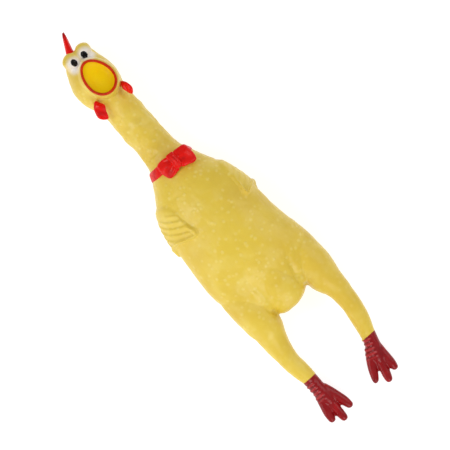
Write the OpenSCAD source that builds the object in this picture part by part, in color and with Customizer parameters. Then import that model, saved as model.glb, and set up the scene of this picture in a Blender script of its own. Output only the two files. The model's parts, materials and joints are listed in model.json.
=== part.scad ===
// Rubber chicken: a hollow soft-vinyl toy bird, plucked and yellow, lying on its back.
// +Y runs from the feet to the head, +Z comes out of the belly and face, +X is the bird's left.
// Every soft part is a lofted skin; the parts that flex meet as a ball in a concentric cup.

/* [Torso] */
// Length of the torso from the neck seat to the line where the legs leave it
torso_length = 145; // [120:1:180]
// Width across the shoulders, just below the collar
shoulder_width = 60; // [50:1:75]
// Width across the chest, between the wings
chest_width = 80; // [68:1:98]
// Width across the waist
waist_width = 88; // [76:1:108]
// Width across the hips, the widest place
hip_width = 97.6; // [86:0.2:118]
// Depth of the torso at the belly, measured from the flattened back
torso_depth = 60; // [50:1:74]
// Depth of the flattening that the bird's weight makes in the back
back_flattening = 2; // [0.5:0.5:4]
// Thickness of the vinyl skin
skin_thickness = 2.5; // [2:0.1:3.5]
// Half width of the tail bulge between the legs
tail_half_width = 16; // [14:0.5:17]
// Half depth of the tail bulge
tail_half_depth = 14; // [13.5:0.5:17]
// How far the tail bulge hangs below the leg line
tail_drop = 19; // [14:1:24]

/* [Belly panel] */
// Length of the soft belly area that gives way to a thumb
belly_panel_length = 92; // [60:1:100]
// Width of the soft belly area
belly_panel_width = 56; // [40:1:60]
// How far the belly area can be pressed in
belly_travel = 9; // [4:1:12]

/* [Neck] */
// Diameter of the neck
neck_diameter = 32; // [28:0.5:36]
// Distance between the bends at the two ends of the neck
neck_length = 60; // [45:1:90]
// Height of the neck's axis above the surface the back lies on
neck_axis_height = 27; // [24:0.5:32]

/* [Head] */
// Width of the head across the cheeks
head_width = 42; // [38:0.5:50]
// Depth of the head from the nape to the root of the beak
head_depth = 42; // [38:0.5:50]
// Length of the head from its lower edge to the crown
head_length = 48; // [42:0.5:56]
// Width of the open beak
mouth_width = 25.6; // [20:0.2:28]
// Height of the open beak
mouth_height = 34.2; // [28:0.2:38]
// How far the beak stands out of the face
beak_reach = 9; // [5:0.5:14]
// Depth of the open mouth behind the beak's edge
mouth_depth = 12; // [8:0.5:14]
// Sideways turn of the face towards the bird's left
face_turn_shift = 3.8; // [0:0.2:6]
// Diameter of each bulging eye
eye_diameter = 14.2; // [11:0.2:14.4]
// Distance between the centres of the eyes
eye_spacing = 14.6; // [14.6:0.2:18]
// Diameter of each pupil
pupil_diameter = 7; // [4:0.5:9]

/* [Comb and wattles] */
// Height of the comb above the crown
comb_height = 16.8; // [12:0.5:26]
// Length of the comb from the forehead to the nape
comb_length = 28; // [20:1:34]
// Thickness of the comb
comb_thickness = 3; // [2:0.2:5]
// Sideways lean of the comb, in degrees
comb_lean = 22; // [0:1:35]
// Length of each wattle
wattle_length = 18; // [12:0.5:22]
// Width of each wattle
wattle_width = 12; // [8:0.5:14]
// Thickness of each wattle
wattle_thickness = 3.4; // [2:0.2:5]

/* [Collar and bow] */
// Height of the collar band
collar_height = 9; // [6:0.5:12]
// Thickness of the collar band
collar_thickness = 3; // [2:0.2:4]
// Length of each loop of the bow
bow_loop_length = 16; // [10:0.5:22]
// Height of the loops of the bow at their ends
bow_loop_height = 17; // [10:0.5:22]
// Thickness of the loops of the bow
bow_thickness = 5; // [3:0.5:8]

/* [Legs and feet] */
// Distance from the hip to the ankle along the body, right leg
right_leg_length = 70; // [55:1:90]
// Distance from the hip to the ankle along the body, left leg
left_leg_length = 73; // [55:1:90]
// Diameter of the thigh where it leaves the torso
thigh_diameter = 30; // [26:0.5:31]
// Diameter of the shin
shin_diameter = 17.2; // [14:0.2:20]
// Diameter of the ankle
ankle_diameter = 12.6; // [10:0.2:14]
// Length of a foot from the ankle to the tip of the middle toe
foot_length = 43; // [34:0.5:52]
// Diameter of each toe
toe_diameter = 8; // [6:0.2:9]
// Inward turn of the left foot, in degrees
left_foot_turn = 17; // [0:1:25]

/* [Wings] */
// Length of each wing
wing_length = 38; // [28:0.5:46]
// How far each wing stands out of the body
wing_relief = 3; // [1.5:0.5:4]

/* [Squeaker] */
// Outer diameter of the squeaker's barrel
squeaker_diameter = 14; // [12:0.2:16]
// Length of the squeaker's barrel
squeaker_length = 27; // [24:0.5:36]
// How far the squeaker's plug is sunk into the end of the tail
plug_inset = 1.2; // [0.4:0.1:2]
// Wall of the squeaker's barrel
squeaker_wall = 1.4; // [1:0.1:2]
// Width of the reed tongue
reed_width = 4; // [3:0.2:5]
// Thickness of the reed tongue
reed_thickness = 0.4; // [0.2:0.1:0.8]

/* [Fits] */
// Gap between a ball and its cup at every place that flexes
flex_gap = 0.4; // [0.3:0.05:0.8]
// Gap all round the belly panel and the small soft flaps
edge_gap = 0.5; // [0.3:0.05:0.8]

/* [Hidden] */
ring_sides = 32;
round_sides = 64;
cup_edge = 5;
neck_radius = neck_diameter/2;
neck_seat_y = torso_length;
neck_pivot_y = neck_seat_y + cup_edge;
head_pivot_y = neck_pivot_y + neck_length;
head_base_y = head_pivot_y + cup_edge;
crown_y = head_base_y + head_length;
head_axis_x = -2.2;
head_half_width = head_width/2;
head_half_depth = head_depth/2;
torso_centre_z = torso_depth/2 - back_flattening/2;
torso_half_depth = torso_depth/2 + back_flattening/2;
thigh_radius = thigh_diameter/2;
ankle_radius = ankle_diameter/2;
shin_radius = shin_diameter/2;
hip_pivot_y = -7;
hip_z = 25;
right_hip_x = -(hip_width/2 - thigh_radius - skin_thickness) - 0.2;
left_hip_x = hip_width/2 - thigh_radius - 0.8;
right_ankle_y = hip_pivot_y - right_leg_length;
left_ankle_y = hip_pivot_y - left_leg_length;
right_ankle_x = -33;
left_ankle_x = 27.4;
ankle_z = 14;
tail_x = 0.7;
tail_end_y = -tail_drop;
belly_centre_y = torso_length*0.39;
mouth_x = head_axis_x + face_turn_shift + 0.8;
mouth_y = head_base_y + head_length*0.355;
beak_root_z = neck_axis_height + head_half_depth - 3;
beak_front_z = beak_root_z + 3 + beak_reach;
rim_height = 2.4;
lining_wall = 1.4;
beak_lip = 3;
eye_radius = eye_diameter/2;
eye_mid_x = mouth_x - 2.3;
eye_y = head_base_y + head_length*0.81;
eye_z = neck_axis_height + 11.5;
comb_x = head_axis_x + 0.8;
comb_base_y = crown_y - 0.4;
comb_tip_y = comb_base_y + comb_height*cos(comb_lean) + comb_thickness/2*sin(comb_lean);
right_wattle_y = head_base_y + 3.4;
left_wattle_y = head_base_y - 1;
wattle_z = neck_axis_height + 21;
right_wattle_x = -14.2;
left_wattle_x = 15.4;
collar_y = neck_seat_y - 6;
seat_radius = neck_radius + 2.3;
bow_y = collar_y - 2.6;
bow_x = 4.4;
bow_z = neck_axis_height + seat_radius + 0.6;
wing_centre_y = torso_length*0.66;
squeaker_z = 25;
squeaker_radius = squeaker_diameter/2;
flange_radius = squeaker_radius + 1.4;
plug_y = tail_end_y + plug_inset;
flange_thickness = 1.6;
barrel_bore = squeaker_radius - squeaker_wall;
barrel_end_y = plug_y + squeaker_length;
bed_thickness = 1.6;
toe_radius = toe_diameter/2;
toe_tip = foot_length - toe_radius;
left_toe_y = left_ankle_y - toe_tip*cos(left_foot_turn) - toe_radius;
right_toe_y = right_ankle_y - foot_length;
lowest_y = min(left_toe_y, right_toe_y);
middle_y = (comb_tip_y + lowest_y)/2;
vinyl_yellow = [0.87, 0.77, 0.30];
paint_red = [0.84, 0.09, 0.07];
foot_red = [0.50, 0.12, 0.14];
squeaker_white = [0.92, 0.92, 0.90];

// A station is [y, centre x, centre z, half width, half depth]
function station_ring(s) = [for (i = [0:ring_sides - 1])
    let (a = 360*i/ring_sides) [s[1] + s[3]*cos(a), s[0], s[2] + s[4]*sin(a)]];

// One point of a smooth curve through b and c, with a and d as the neighbours
function curve_point(a, b, c, d, t) = 0.5*(2*b + (c - a)*t + (2*a - 5*b + 4*c - d)*t*t
    + (3*b - a - 3*c + d)*t*t*t);

// Stations of a smooth curve through the keys, with some steps from each key to the next
function smooth(keys, steps) = [for (i = [0:len(keys) - 2], j = [0:steps - 1])
    curve_point(keys[max(i - 1, 0)], keys[i], keys[i + 1], keys[min(i + 2, len(keys) - 1)], j/steps),
    keys[len(keys) - 1]];

// The same stations drawn in by the thickness of the skin
function inset(stations, t) = [for (s = stations) [s[0], s[1], s[2], s[3] - t, s[4] - t]];

// Stations between two heights only
function between(stations, low, high) = [for (s = stations) if (s[0] > low && s[0] < high) s];

// A closed solid through a row of stations that runs towards +Y
module loft(stations) {
    n = len(stations);
    m = ring_sides;
    sides = [for (k = [0:n - 2], i = [0:m - 1]) let (j = (i + 1)%m)
        each [[k*m + i, k*m + j, k*m + m + j], [k*m + i, k*m + m + j, k*m + m + i]]];
    low_cap = [[for (i = [m - 1:-1:0]) i]];
    high_cap = [[for (i = [0:m - 1]) (n - 1)*m + i]];
    polyhedron([for (s = stations) each station_ring(s)], concat(sides, low_cap, high_cap), 10);
}

// A rounded limb through points [x, y, z, radius] that run towards +Y
module limb(points, steps) {
    first = points[0];
    last = points[len(points) - 1];
    body = smooth([for (p = points) [p[1], p[0], p[2], p[3], p[3]]], steps);
    start = [for (a = [80:-20:20])
        [first[1] - first[3]*sin(a), first[0], first[2], first[3]*cos(a), first[3]*cos(a)]];
    end = [for (a = [20:20:80])
        [last[1] + last[3]*sin(a), last[0], last[2], last[3]*cos(a), last[3]*cos(a)]];
    loft(concat(start, body, end));
}

// An egg outline, a little wider towards -Y
function egg(w, h) = [for (i = [0:47]) let (a = 360*i/48)
    [w/2*cos(a)*(1 - 0.08*sin(a)), h/2*sin(a)]];

// An ellipse outline
function oval(w, h) = [for (i = [0:63]) let (a = 360*i/64) [w/2*cos(a), h/2*sin(a)]];

torso_stations = smooth([
    [0, 0, hip_z + 1, hip_width/2 - 1.2, 20.5],
    [torso_length*0.07, 0, torso_centre_z - 2, hip_width/2 - 0.2, torso_half_depth - 4],
    [torso_length*0.15, 0, torso_centre_z, hip_width/2, torso_half_depth - 1],
    [torso_length*0.30, -1, torso_centre_z, (hip_width + waist_width)/4, torso_half_depth],
    [torso_length*0.45, -1.8, torso_centre_z, waist_width/2, torso_half_depth],
    [torso_length*0.64, -1.6, torso_centre_z, chest_width/2, torso_half_depth - 1.5],
    [torso_length*0.80, -1, torso_centre_z - 0.6, shoulder_width/2 + 5, torso_half_depth - 5],
    [torso_length*0.88, -0.7, neck_axis_height + 0.6, shoulder_width/2 - 3.5, torso_half_depth - 9],
    [torso_length*0.93, -0.7, neck_axis_height, seat_radius + 2.2, seat_radius + 1],
    [torso_length*0.955, -0.7, neck_axis_height, seat_radius, seat_radius],
    [neck_seat_y, -0.7, neck_axis_height, seat_radius, seat_radius]], 2);

tail_stations = smooth([
    [tail_end_y, tail_x, squeaker_z, tail_half_width - 3.6, tail_half_depth - 2.6],
    [tail_end_y + 2, tail_x, squeaker_z, tail_half_width - 1.4, tail_half_depth - 1],
    [tail_end_y + 6, tail_x, squeaker_z, tail_half_width - 0.2, tail_half_depth],
    [2, tail_x, squeaker_z, tail_half_width, tail_half_depth + 1],
    [12, tail_x, squeaker_z, tail_half_width, tail_half_depth + 1]], 1);

module body_outer() {
    difference() {
        loft(torso_stations);
        translate([-100, -100, -50])
            cube([200, torso_length + 200, 50]);
    }
}

module body_cavity() {
    difference() {
        loft(inset(between(torso_stations, 5.5, torso_length*0.9), skin_thickness));
        translate([-100, -100, -50])
            cube([200, torso_length + 200, 50 + skin_thickness]);
    }
}

module body_shell() {
    difference() {
        body_outer();
        body_cavity();
    }
}

// The upright plug whose outline is the edge of the belly panel
module belly_plug(gap) {
    translate([-1, belly_centre_y, torso_centre_z])
        linear_extrude(torso_depth)
            polygon(oval(belly_panel_width + 2*gap, belly_panel_length + 2*gap));
}

module torso_skin() {
    color(vinyl_yellow)
    difference() {
        union() {
            body_shell();
            loft(tail_stations);
        }
        belly_plug(edge_gap);
        // cups for the neck and for the two thighs
        translate([-0.7, neck_pivot_y, neck_axis_height])
            sphere(neck_radius + flex_gap, $fn = round_sides);
        translate([right_hip_x, hip_pivot_y, hip_z])
            sphere(thigh_radius + flex_gap, $fn = round_sides);
        translate([left_hip_x, hip_pivot_y, hip_z])
            sphere(thigh_radius + flex_gap, $fn = round_sides);
        // air way up into the neck
        translate([-0.7, torso_length*0.8, neck_axis_height])
            rotate([-90, 0, 0])
                cylinder(h = torso_length*0.2, r = 8, $fn = round_sides);
        // seat of the squeaker in the tail
        translate([tail_x, plug_y + flange_thickness, squeaker_z])
            rotate([-90, 0, 0])
                cylinder(h = squeaker_length + 4, r = squeaker_radius, $fn = round_sides);
        translate([tail_x, plug_y - 10, squeaker_z])
            rotate([-90, 0, 0])
                cylinder(h = 10 + flange_thickness, r = flange_radius, $fn = round_sides);
    }
}

module belly_skin() {
    color(vinyl_yellow)
    intersection() {
        body_shell();
        belly_plug(0);
    }
}

// Half a wing in outline, root towards the shoulder, tip towards the tail
function wing_outline(k) = [[0, 0.52*k], [0.16*k, 0.44*k], [0.26*k, 0.24*k], [0.28*k, 0],
    [0.25*k, -0.26*k], [0.17*k, -0.48*k], [0.04*k, -0.42*k], [-0.05*k, -0.30*k],
    [-0.14*k, -0.32*k], [-0.2*k, -0.1*k], [-0.2*k, 0.2*k], [-0.12*k, 0.42*k]];

module wing_relief_skin(grow) {
    difference() {
        loft([for (s = between(torso_stations, torso_length*0.4, torso_length*0.9))
            [s[0], s[1], s[2], s[3] + grow, s[4] + grow]]);
        body_outer();
    }
}

module wing(side) {
    intersection() {
        wing_relief_skin(wing_relief);
        translate([0, wing_centre_y, neck_axis_height + 6])
            rotate([0, 90*side, 0])
                linear_extrude(80)
                    scale([side, 1])
                        polygon(wing_outline(wing_length));
    }
}

module right_wing() {
    color(vinyl_yellow)
        wing(-1);
}

module left_wing() {
    color(vinyl_yellow)
        wing(1);
}

// Neck profile: [distance from the axis, distance along it]
module neck_profile(r, low, high) {
    polygon(concat(
        [for (a = [low:5:0]) [r*cos(a), r*sin(a)]],
        [[r - 0.6, neck_length*0.35], [r - 0.8, neck_length*0.7]],
        [for (a = [0:5:high]) [r*cos(a), neck_length + r*sin(a)]],
        [[0, neck_length + r*sin(high)], [0, r*sin(low)]]));
}

module neck_skin() {
    color(vinyl_yellow)
    translate([-0.7, neck_pivot_y, neck_axis_height])
        rotate([-90, 0, 0])
            difference() {
                rotate_extrude($fn = round_sides)
                    neck_profile(neck_radius, -60, 60);
                rotate_extrude($fn = round_sides)
                    neck_profile(neck_radius - skin_thickness, -55, 55);
                translate([0, 0, -neck_radius])
                    cylinder(h = neck_length + neck_diameter, r = 6, $fn = round_sides);
            }
}

module collar_band() {
    color(paint_red)
    difference() {
        translate([-0.7, collar_y, neck_axis_height])
            rotate([-90, 0, 0])
                rotate_extrude($fn = round_sides)
                    polygon([[seat_radius - 1, -collar_height/2],
                        [seat_radius + collar_thickness - 0.8, -collar_height/2],
                        [seat_radius + collar_thickness, -collar_height/2 + 1],
                        [seat_radius + collar_thickness, collar_height/2 - 1],
                        [seat_radius + collar_thickness - 0.8, collar_height/2],
                        [seat_radius - 1, collar_height/2]]);
        body_outer();
    }
}

// What the bow lies on: the collar band and the slope of the chest
module bow_seat() {
    translate([-0.7, collar_y - collar_height/2 - 0.1, neck_axis_height])
        rotate([-90, 0, 0])
            cylinder(h = 40, r = seat_radius + collar_thickness, $fn = round_sides);
    body_outer();
}

// A loop of the bow, growing from the knot towards one side
module bow_loop(side) {
    h = bow_loop_height;
    l = bow_loop_length;
    difference() {
        translate([bow_x + side*4, bow_y, bow_z])
            linear_extrude(bow_thickness)
                scale([side, 1])
                    polygon([[0, -h*0.2], [l*0.3, -h*0.38], [l*0.75, -h*0.55], [l, -h*0.38],
                        [l, h*0.3], [l*0.8, h*0.42], [l*0.4, h*0.36], [0, h*0.22]]);
        bow_seat();
    }
}

module bow_knot() {
    color(paint_red)
    difference() {
        translate([bow_x - 4, bow_y - 4.6, bow_z])
            cube([8, 9.2, bow_thickness + 1.4]);
        bow_seat();
    }
}

module bow_right_loop() {
    color(paint_red)
        bow_loop(-1);
}

module bow_left_loop() {
    color(paint_red)
        bow_loop(1);
}

head_stations = smooth([
    [head_base_y, -1.6, neck_axis_height, head_half_width - 2.8, head_half_depth - 2.6],
    [head_base_y + head_length*0.2, head_axis_x, neck_axis_height, head_half_width - 1, head_half_depth - 0.8],
    [head_base_y + head_length*0.4, head_axis_x, neck_axis_height, head_half_width, head_half_depth],
    [head_base_y + head_length*0.58, head_axis_x, neck_axis_height, head_half_width - 1.6, head_half_depth - 1],
    [head_base_y + head_length*0.72, head_axis_x + 0.6, neck_axis_height - 0.5, head_half_width - 4.6, head_half_depth - 3],
    [head_base_y + head_length*0.86, comb_x, neck_axis_height - 1, head_half_width - 7, head_half_depth - 6],
    [head_base_y + head_length*0.95, comb_x, neck_axis_height - 1, head_half_width - 10, head_half_depth - 9],
    [crown_y, comb_x, neck_axis_height - 1, head_half_width - 15, head_half_depth - 14]], 2);

module beak_plug(grow, low, high) {
    translate([mouth_x, mouth_y, low])
        linear_extrude(high - low)
            polygon(egg(mouth_width + 2*grow, mouth_height + 2*grow));
}

module eyes_seat() {
    translate([eye_mid_x - eye_spacing/2, eye_y, eye_z])
        sphere(eye_radius, $fn = round_sides);
    translate([eye_mid_x + eye_spacing/2, eye_y, eye_z])
        sphere(eye_radius, $fn = round_sides);
}

module head_skin() {
    color(vinyl_yellow)
    difference() {
        union() {
            difference() {
                loft(head_stations);
                loft(inset(between(head_stations, head_base_y + 3, crown_y - 3), skin_thickness));
            }
            beak_plug(beak_lip, beak_front_z - mouth_depth - 4, beak_front_z - rim_height);
        }
        beak_plug(0, beak_front_z - mouth_depth, beak_front_z + 1);
        translate([-0.7, head_pivot_y, neck_axis_height])
            sphere(neck_radius + flex_gap, $fn = round_sides);
        eyes_seat();
        pupil_solid(-1);
        pupil_solid(1);
    }
}

module mouth_lining() {
    color([0.90, 0.72, 0.02])
    difference() {
        beak_plug(0, beak_front_z - mouth_depth, beak_front_z - rim_height);
        beak_plug(-lining_wall, beak_front_z - mouth_depth + lining_wall, beak_front_z);
    }
}

module mouth_rim() {
    color([0.75, 0.14, 0.02])
    difference() {
        beak_plug(beak_lip - 1, beak_front_z - rim_height, beak_front_z);
        beak_plug(-lining_wall, beak_front_z - rim_height - 1, beak_front_z + 1);
    }
}

// A pupil is the front of a slightly larger ball, seen through a round hole
module pupil_solid(side) {
    x = eye_mid_x + side*eye_spacing/2;
    intersection() {
        translate([x, eye_y, eye_z])
            sphere(eye_radius + 0.3, $fn = round_sides);
        translate([x - side*1.8, eye_y + 0.2, eye_z + eye_radius*0.5])
            cylinder(h = eye_radius, d = pupil_diameter, $fn = round_sides);
    }
}

module eye(side) {
    difference() {
        translate([eye_mid_x + side*eye_spacing/2, eye_y, eye_z])
            sphere(eye_radius, $fn = round_sides);
        pupil_solid(side);
    }
}

module right_eye() {
    color([0.93, 0.90, 0.86])
        eye(-1);
}

module left_eye() {
    color([0.93, 0.90, 0.86])
        eye(1);
}

module right_pupil() {
    color([0.04, 0.04, 0.04])
        pupil_solid(-1);
}

module left_pupil() {
    color([0.04, 0.04, 0.04])
        pupil_solid(1);
}

module comb() {
    l = comb_length;
    h = comb_height;
    color(paint_red)
    translate([comb_x, comb_base_y, neck_axis_height - 1])
        rotate([0, 0, -comb_lean])
            rotate([0, -90, 0])
                translate([0, 0, -comb_thickness/2])
                    linear_extrude(comb_thickness)
                        polygon([[-l/2, 1.2], [-l*0.52, h*0.46], [-l*0.36, h*0.3], [-l*0.3, h*0.78],
                            [-l*0.14, h*0.48], [0, h], [l*0.12, h*0.5], [l*0.27, h*0.8],
                            [l*0.34, h*0.36], [l*0.48, h*0.5], [l*0.48, 1.2], [l*0.3, 2], [-l*0.3, 2]]);
}

function leaf(w, l) = [[0, 0], [w*0.3, -l*0.04], [w*0.5, -l*0.26], [w*0.46, -l*0.55], [w*0.3, -l*0.82],
    [w*0.05, -l], [-w*0.22, -l*0.94], [-w*0.44, -l*0.7], [-w*0.5, -l*0.45], [-w*0.34, -l*0.16]];

module wattle(side, x, y, turn) {
    translate([x, y, wattle_z])
        rotate([0, turn, 0])
            translate([0, 0, -wattle_thickness/2])
                linear_extrude(wattle_thickness)
                    scale([-side, 1])
                        polygon(leaf(wattle_width, wattle_length));
}

module right_wattle() {
    color(paint_red)
        wattle(-1, right_wattle_x, right_wattle_y, 0);
}

module left_wattle() {
    color(paint_red)
        wattle(1, left_wattle_x, left_wattle_y, 58);
}

// A leg is a hollow limb from the hip ball to the cup of the ankle
module leg(hip_x, bow, ankle_x, ankle_y) {
    low = ankle_y + 2.6;
    span = hip_pivot_y - low;
    keys = [
        [low, ankle_x, ankle_z, ankle_radius + 1.6, ankle_radius + 1.6],
        [low + span*0.18, ankle_x + bow*0.55, ankle_z + 1.5, shin_radius, shin_radius],
        [low + span*0.36, ankle_x + bow, ankle_z + 3, shin_radius + 0.2, shin_radius + 0.2],
        [low + span*0.54, (ankle_x + hip_x + bow)/2, ankle_z + 5.2, shin_radius + 1.6, shin_radius + 1.4],
        [low + span*0.70, (ankle_x*0.3 + hip_x*0.7 + bow*0.5), ankle_z + 7.6, shin_radius + 3.8, shin_radius + 3.4],
        [low + span*0.86, hip_x, hip_z - 1.6, thigh_radius - 0.8, thigh_radius - 1],
        [hip_pivot_y, hip_x, hip_z, thigh_radius, thigh_radius]];
    dome = [for (a = [15:15:60])
        [hip_pivot_y + thigh_radius*sin(a), hip_x, hip_z, thigh_radius*cos(a), thigh_radius*cos(a)]];
    outer = concat(smooth(keys, 2), dome);
    difference() {
        loft(outer);
        loft(inset(between(outer, low + span*0.1, hip_pivot_y + thigh_radius*0.8), skin_thickness));
        translate([ankle_x, ankle_y, ankle_z])
            sphere(ankle_radius + flex_gap, $fn = round_sides);
        translate([hip_x, hip_pivot_y + 6, hip_z])
            rotate([-90, 0, 0])
                cylinder(h = thigh_radius, r = 5, $fn = round_sides);
    }
}

module right_leg() {
    color(vinyl_yellow)
        leg(right_hip_x, -2.2, right_ankle_x, right_ankle_y);
}

module left_leg() {
    color(vinyl_yellow)
        leg(left_hip_x, 7.6, left_ankle_x, left_ankle_y);
}

// A foot hangs from its ankle ball; side is -1 for the right foot
module foot(side) {
    s = side;
    f = foot_length;
    t = toe_radius;
    limb([[0, -f*0.52, -2.6, ankle_radius + 0.4], [0, -f*0.36, -2, ankle_radius + 1],
        [0, -f*0.18, -1, ankle_radius + 0.2], [0, 0, 0, ankle_radius]], 2);
    limb([[0, t - f, -4.6, t], [0, -f*0.7, -4.2, t + 0.4], [0, -f*0.42, -2.6, t + 1]], 2);
    limb([[-s*11, -f*0.79, -4.8, t], [-s*8.4, -f*0.62, -4.2, t + 0.4], [-s*3, -f*0.38, -2.4, t + 0.8]], 2);
    limb([[s*8, -f*0.8, -4.8, t], [s*6.6, -f*0.62, -4.2, t + 0.4], [s*3, -f*0.38, -2.4, t + 0.8]], 2);
}

module right_foot() {
    color(foot_red)
    translate([right_ankle_x, right_ankle_y, ankle_z])
        foot(-1);
}

module left_foot() {
    color(foot_red)
    translate([left_ankle_x, left_ankle_y, ankle_z])
        rotate([0, 0, -left_foot_turn])
            foot(1);
}

module squeaker_barrel() {
    color(squeaker_white)
    translate([tail_x, plug_y, squeaker_z])
        rotate([-90, 0, 0])
            difference() {
                union() {
                    cylinder(h = flange_thickness, r = flange_radius, $fn = round_sides);
                    cylinder(h = squeaker_length, r = squeaker_radius, $fn = round_sides);
                }
                translate([0, 0, 3])
                    cylinder(h = squeaker_length, r = barrel_bore, $fn = round_sides);
                translate([0, 0, -1])
                    cylinder(h = 6, r = 3, $fn = round_sides);
            }
}

// The reed bed is a plate across the barrel with a window for the tongue
module reed_bed() {
    color([0.80, 0.10, 0.12])
    translate([tail_x, plug_y, squeaker_z])
        difference() {
            intersection() {
                translate([-barrel_bore, 3, -bed_thickness])
                    cube([2*barrel_bore, squeaker_length - 5, bed_thickness]);
                rotate([-90, 0, 0])
                    cylinder(h = squeaker_length, r = barrel_bore, $fn = round_sides);
            }
            translate([-reed_width/2 - 0.5, 5, -bed_thickness - 1])
                cube([reed_width + 1, squeaker_length - 12, bed_thickness + 2]);
        }
}

module reed_tongue() {
    color([0.95, 0.95, 0.92])
    translate([tail_x - reed_width/2, plug_y + 5.6, squeaker_z + 0.35])
        cube([reed_width, squeaker_length - 9, reed_thickness]);
}

module squeaker_cap() {
    color(squeaker_white)
    translate([tail_x, barrel_end_y, squeaker_z])
        rotate([-90, 0, 0])
            difference() {
                union() {
                    cylinder(h = 1.6, r = squeaker_radius, $fn = round_sides);
                    translate([0, 0, -2])
                        cylinder(h = 2.5, r = barrel_bore, $fn = round_sides);
                }
                translate([0, 0, -3])
                    cylinder(h = 6, r = 2.4, $fn = round_sides);
            }
}

// The whole bird is centred over the surface it lies on
module placed() {
    translate([0, -middle_y, 0])
        children();
}

placed() torso_skin();
placed() belly_skin();
placed() right_wing();
placed() left_wing();
placed() neck_skin();
placed() collar_band();
placed() bow_knot();
placed() bow_right_loop();
placed() bow_left_loop();
placed() head_skin();
placed() mouth_lining();
placed() mouth_rim();
placed() right_eye();
placed() left_eye();
placed() right_pupil();
placed() left_pupil();
placed() comb();
placed() right_wattle();
placed() left_wattle();
placed() right_leg();
placed() left_leg();
placed() right_foot();
placed() left_foot();
placed() squeaker_barrel();
placed() reed_bed();
placed() reed_tongue();
placed() squeaker_cap();
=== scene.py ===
"""Rubber chicken: the looks of a squeezable vinyl bird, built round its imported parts.

The bird lies on its back. +Y runs to the head, +Z out of the belly, +X is its left side.
Lengths in the tables below are millimetres in that frame; meshes are made in metres.
"""
import json
import math

import bmesh
import bpy
import numpy as np
from mathutils import Euler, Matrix, Vector, kdtree, noise


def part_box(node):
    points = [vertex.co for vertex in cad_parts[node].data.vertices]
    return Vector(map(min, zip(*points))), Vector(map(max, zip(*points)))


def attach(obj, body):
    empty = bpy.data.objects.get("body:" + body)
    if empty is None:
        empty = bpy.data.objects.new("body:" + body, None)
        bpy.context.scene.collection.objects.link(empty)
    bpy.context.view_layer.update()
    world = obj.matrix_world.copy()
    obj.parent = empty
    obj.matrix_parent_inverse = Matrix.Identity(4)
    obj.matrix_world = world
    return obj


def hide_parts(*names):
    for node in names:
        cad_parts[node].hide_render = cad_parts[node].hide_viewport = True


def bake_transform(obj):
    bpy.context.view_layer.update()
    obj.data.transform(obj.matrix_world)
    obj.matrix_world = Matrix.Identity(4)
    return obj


bl_info = {
    "name": "Rubber Chicken",
    "version": (1, 0, 0),
    "blender": (4, 5, 0),
    "location": "View3D > Sidebar > Chicken",
    "description": "Builds a rubber chicken in soft vinyl round its packed parts",
    "category": "Object",
}

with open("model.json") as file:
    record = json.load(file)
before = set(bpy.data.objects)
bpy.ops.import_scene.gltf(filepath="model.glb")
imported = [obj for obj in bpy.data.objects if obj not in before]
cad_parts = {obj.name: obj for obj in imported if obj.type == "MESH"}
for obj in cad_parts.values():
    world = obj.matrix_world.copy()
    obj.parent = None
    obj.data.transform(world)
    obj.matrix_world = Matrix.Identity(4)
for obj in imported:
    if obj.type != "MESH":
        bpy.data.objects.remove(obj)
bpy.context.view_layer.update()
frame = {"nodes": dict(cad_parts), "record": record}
MM = 0.001
JOINTS = {j["name"]: j for j in frame["record"]["behaviour"]["joints"]}
MADE = {}


def pivot(joint):
    """Where a joint turns, in millimetres."""
    return np.array(JOINTS[joint]["pos_m"]) / MM


def box_mm(node):
    """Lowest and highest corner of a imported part, in millimetres."""
    return [np.array(corner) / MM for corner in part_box(node)]


NECK, NOD = pivot("neck_bend"), pivot("head_nod")
R_HIP, L_HIP = pivot("right_hip"), pivot("left_hip")
R_ANKLE, L_ANKLE = pivot("right_ankle"), pivot("left_ankle")
SIDES = {-1: "right", 1: "left"}
# where each foot starts, and how far it is turned
FEET = {-1: (R_ANKLE + np.array([1.0, 0, 0]), 0.0),
        1: (L_ANKLE + np.array([1.5, -0.8, 0]), -math.radians(16))}
MID_Z = 27               # height of the middle of the trunk and the neck
RIDGE_PITCH = 4.0        # from one ridge of a shank to the next
RIDGES_START = (0.5, 2.0)
RIDGES_END = (18.5, 21.0)
ARC = 0.62               # length along the side for one degree round it


# ---------------------------------------------------------------- sizes and colours

def size(name, text, default, low, high):
    return bpy.props.FloatProperty(name=name, description=text, default=default, min=low, max=high,
                                   subtype="DISTANCE", unit="LENGTH")


def linear(r, g, b):
    """A colour given as 0 to 255 display values, as the linear values a shader takes."""
    return tuple(((c / 255 + 0.055) / 1.055) ** 2.4 if c > 10 else c / 255 / 12.92 for c in (r, g, b))


def colour(name, text, rgb):
    return bpy.props.FloatVectorProperty(name=name, description=text, default=linear(*rgb), size=3,
                                         min=0, max=1, subtype="COLOR")


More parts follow.
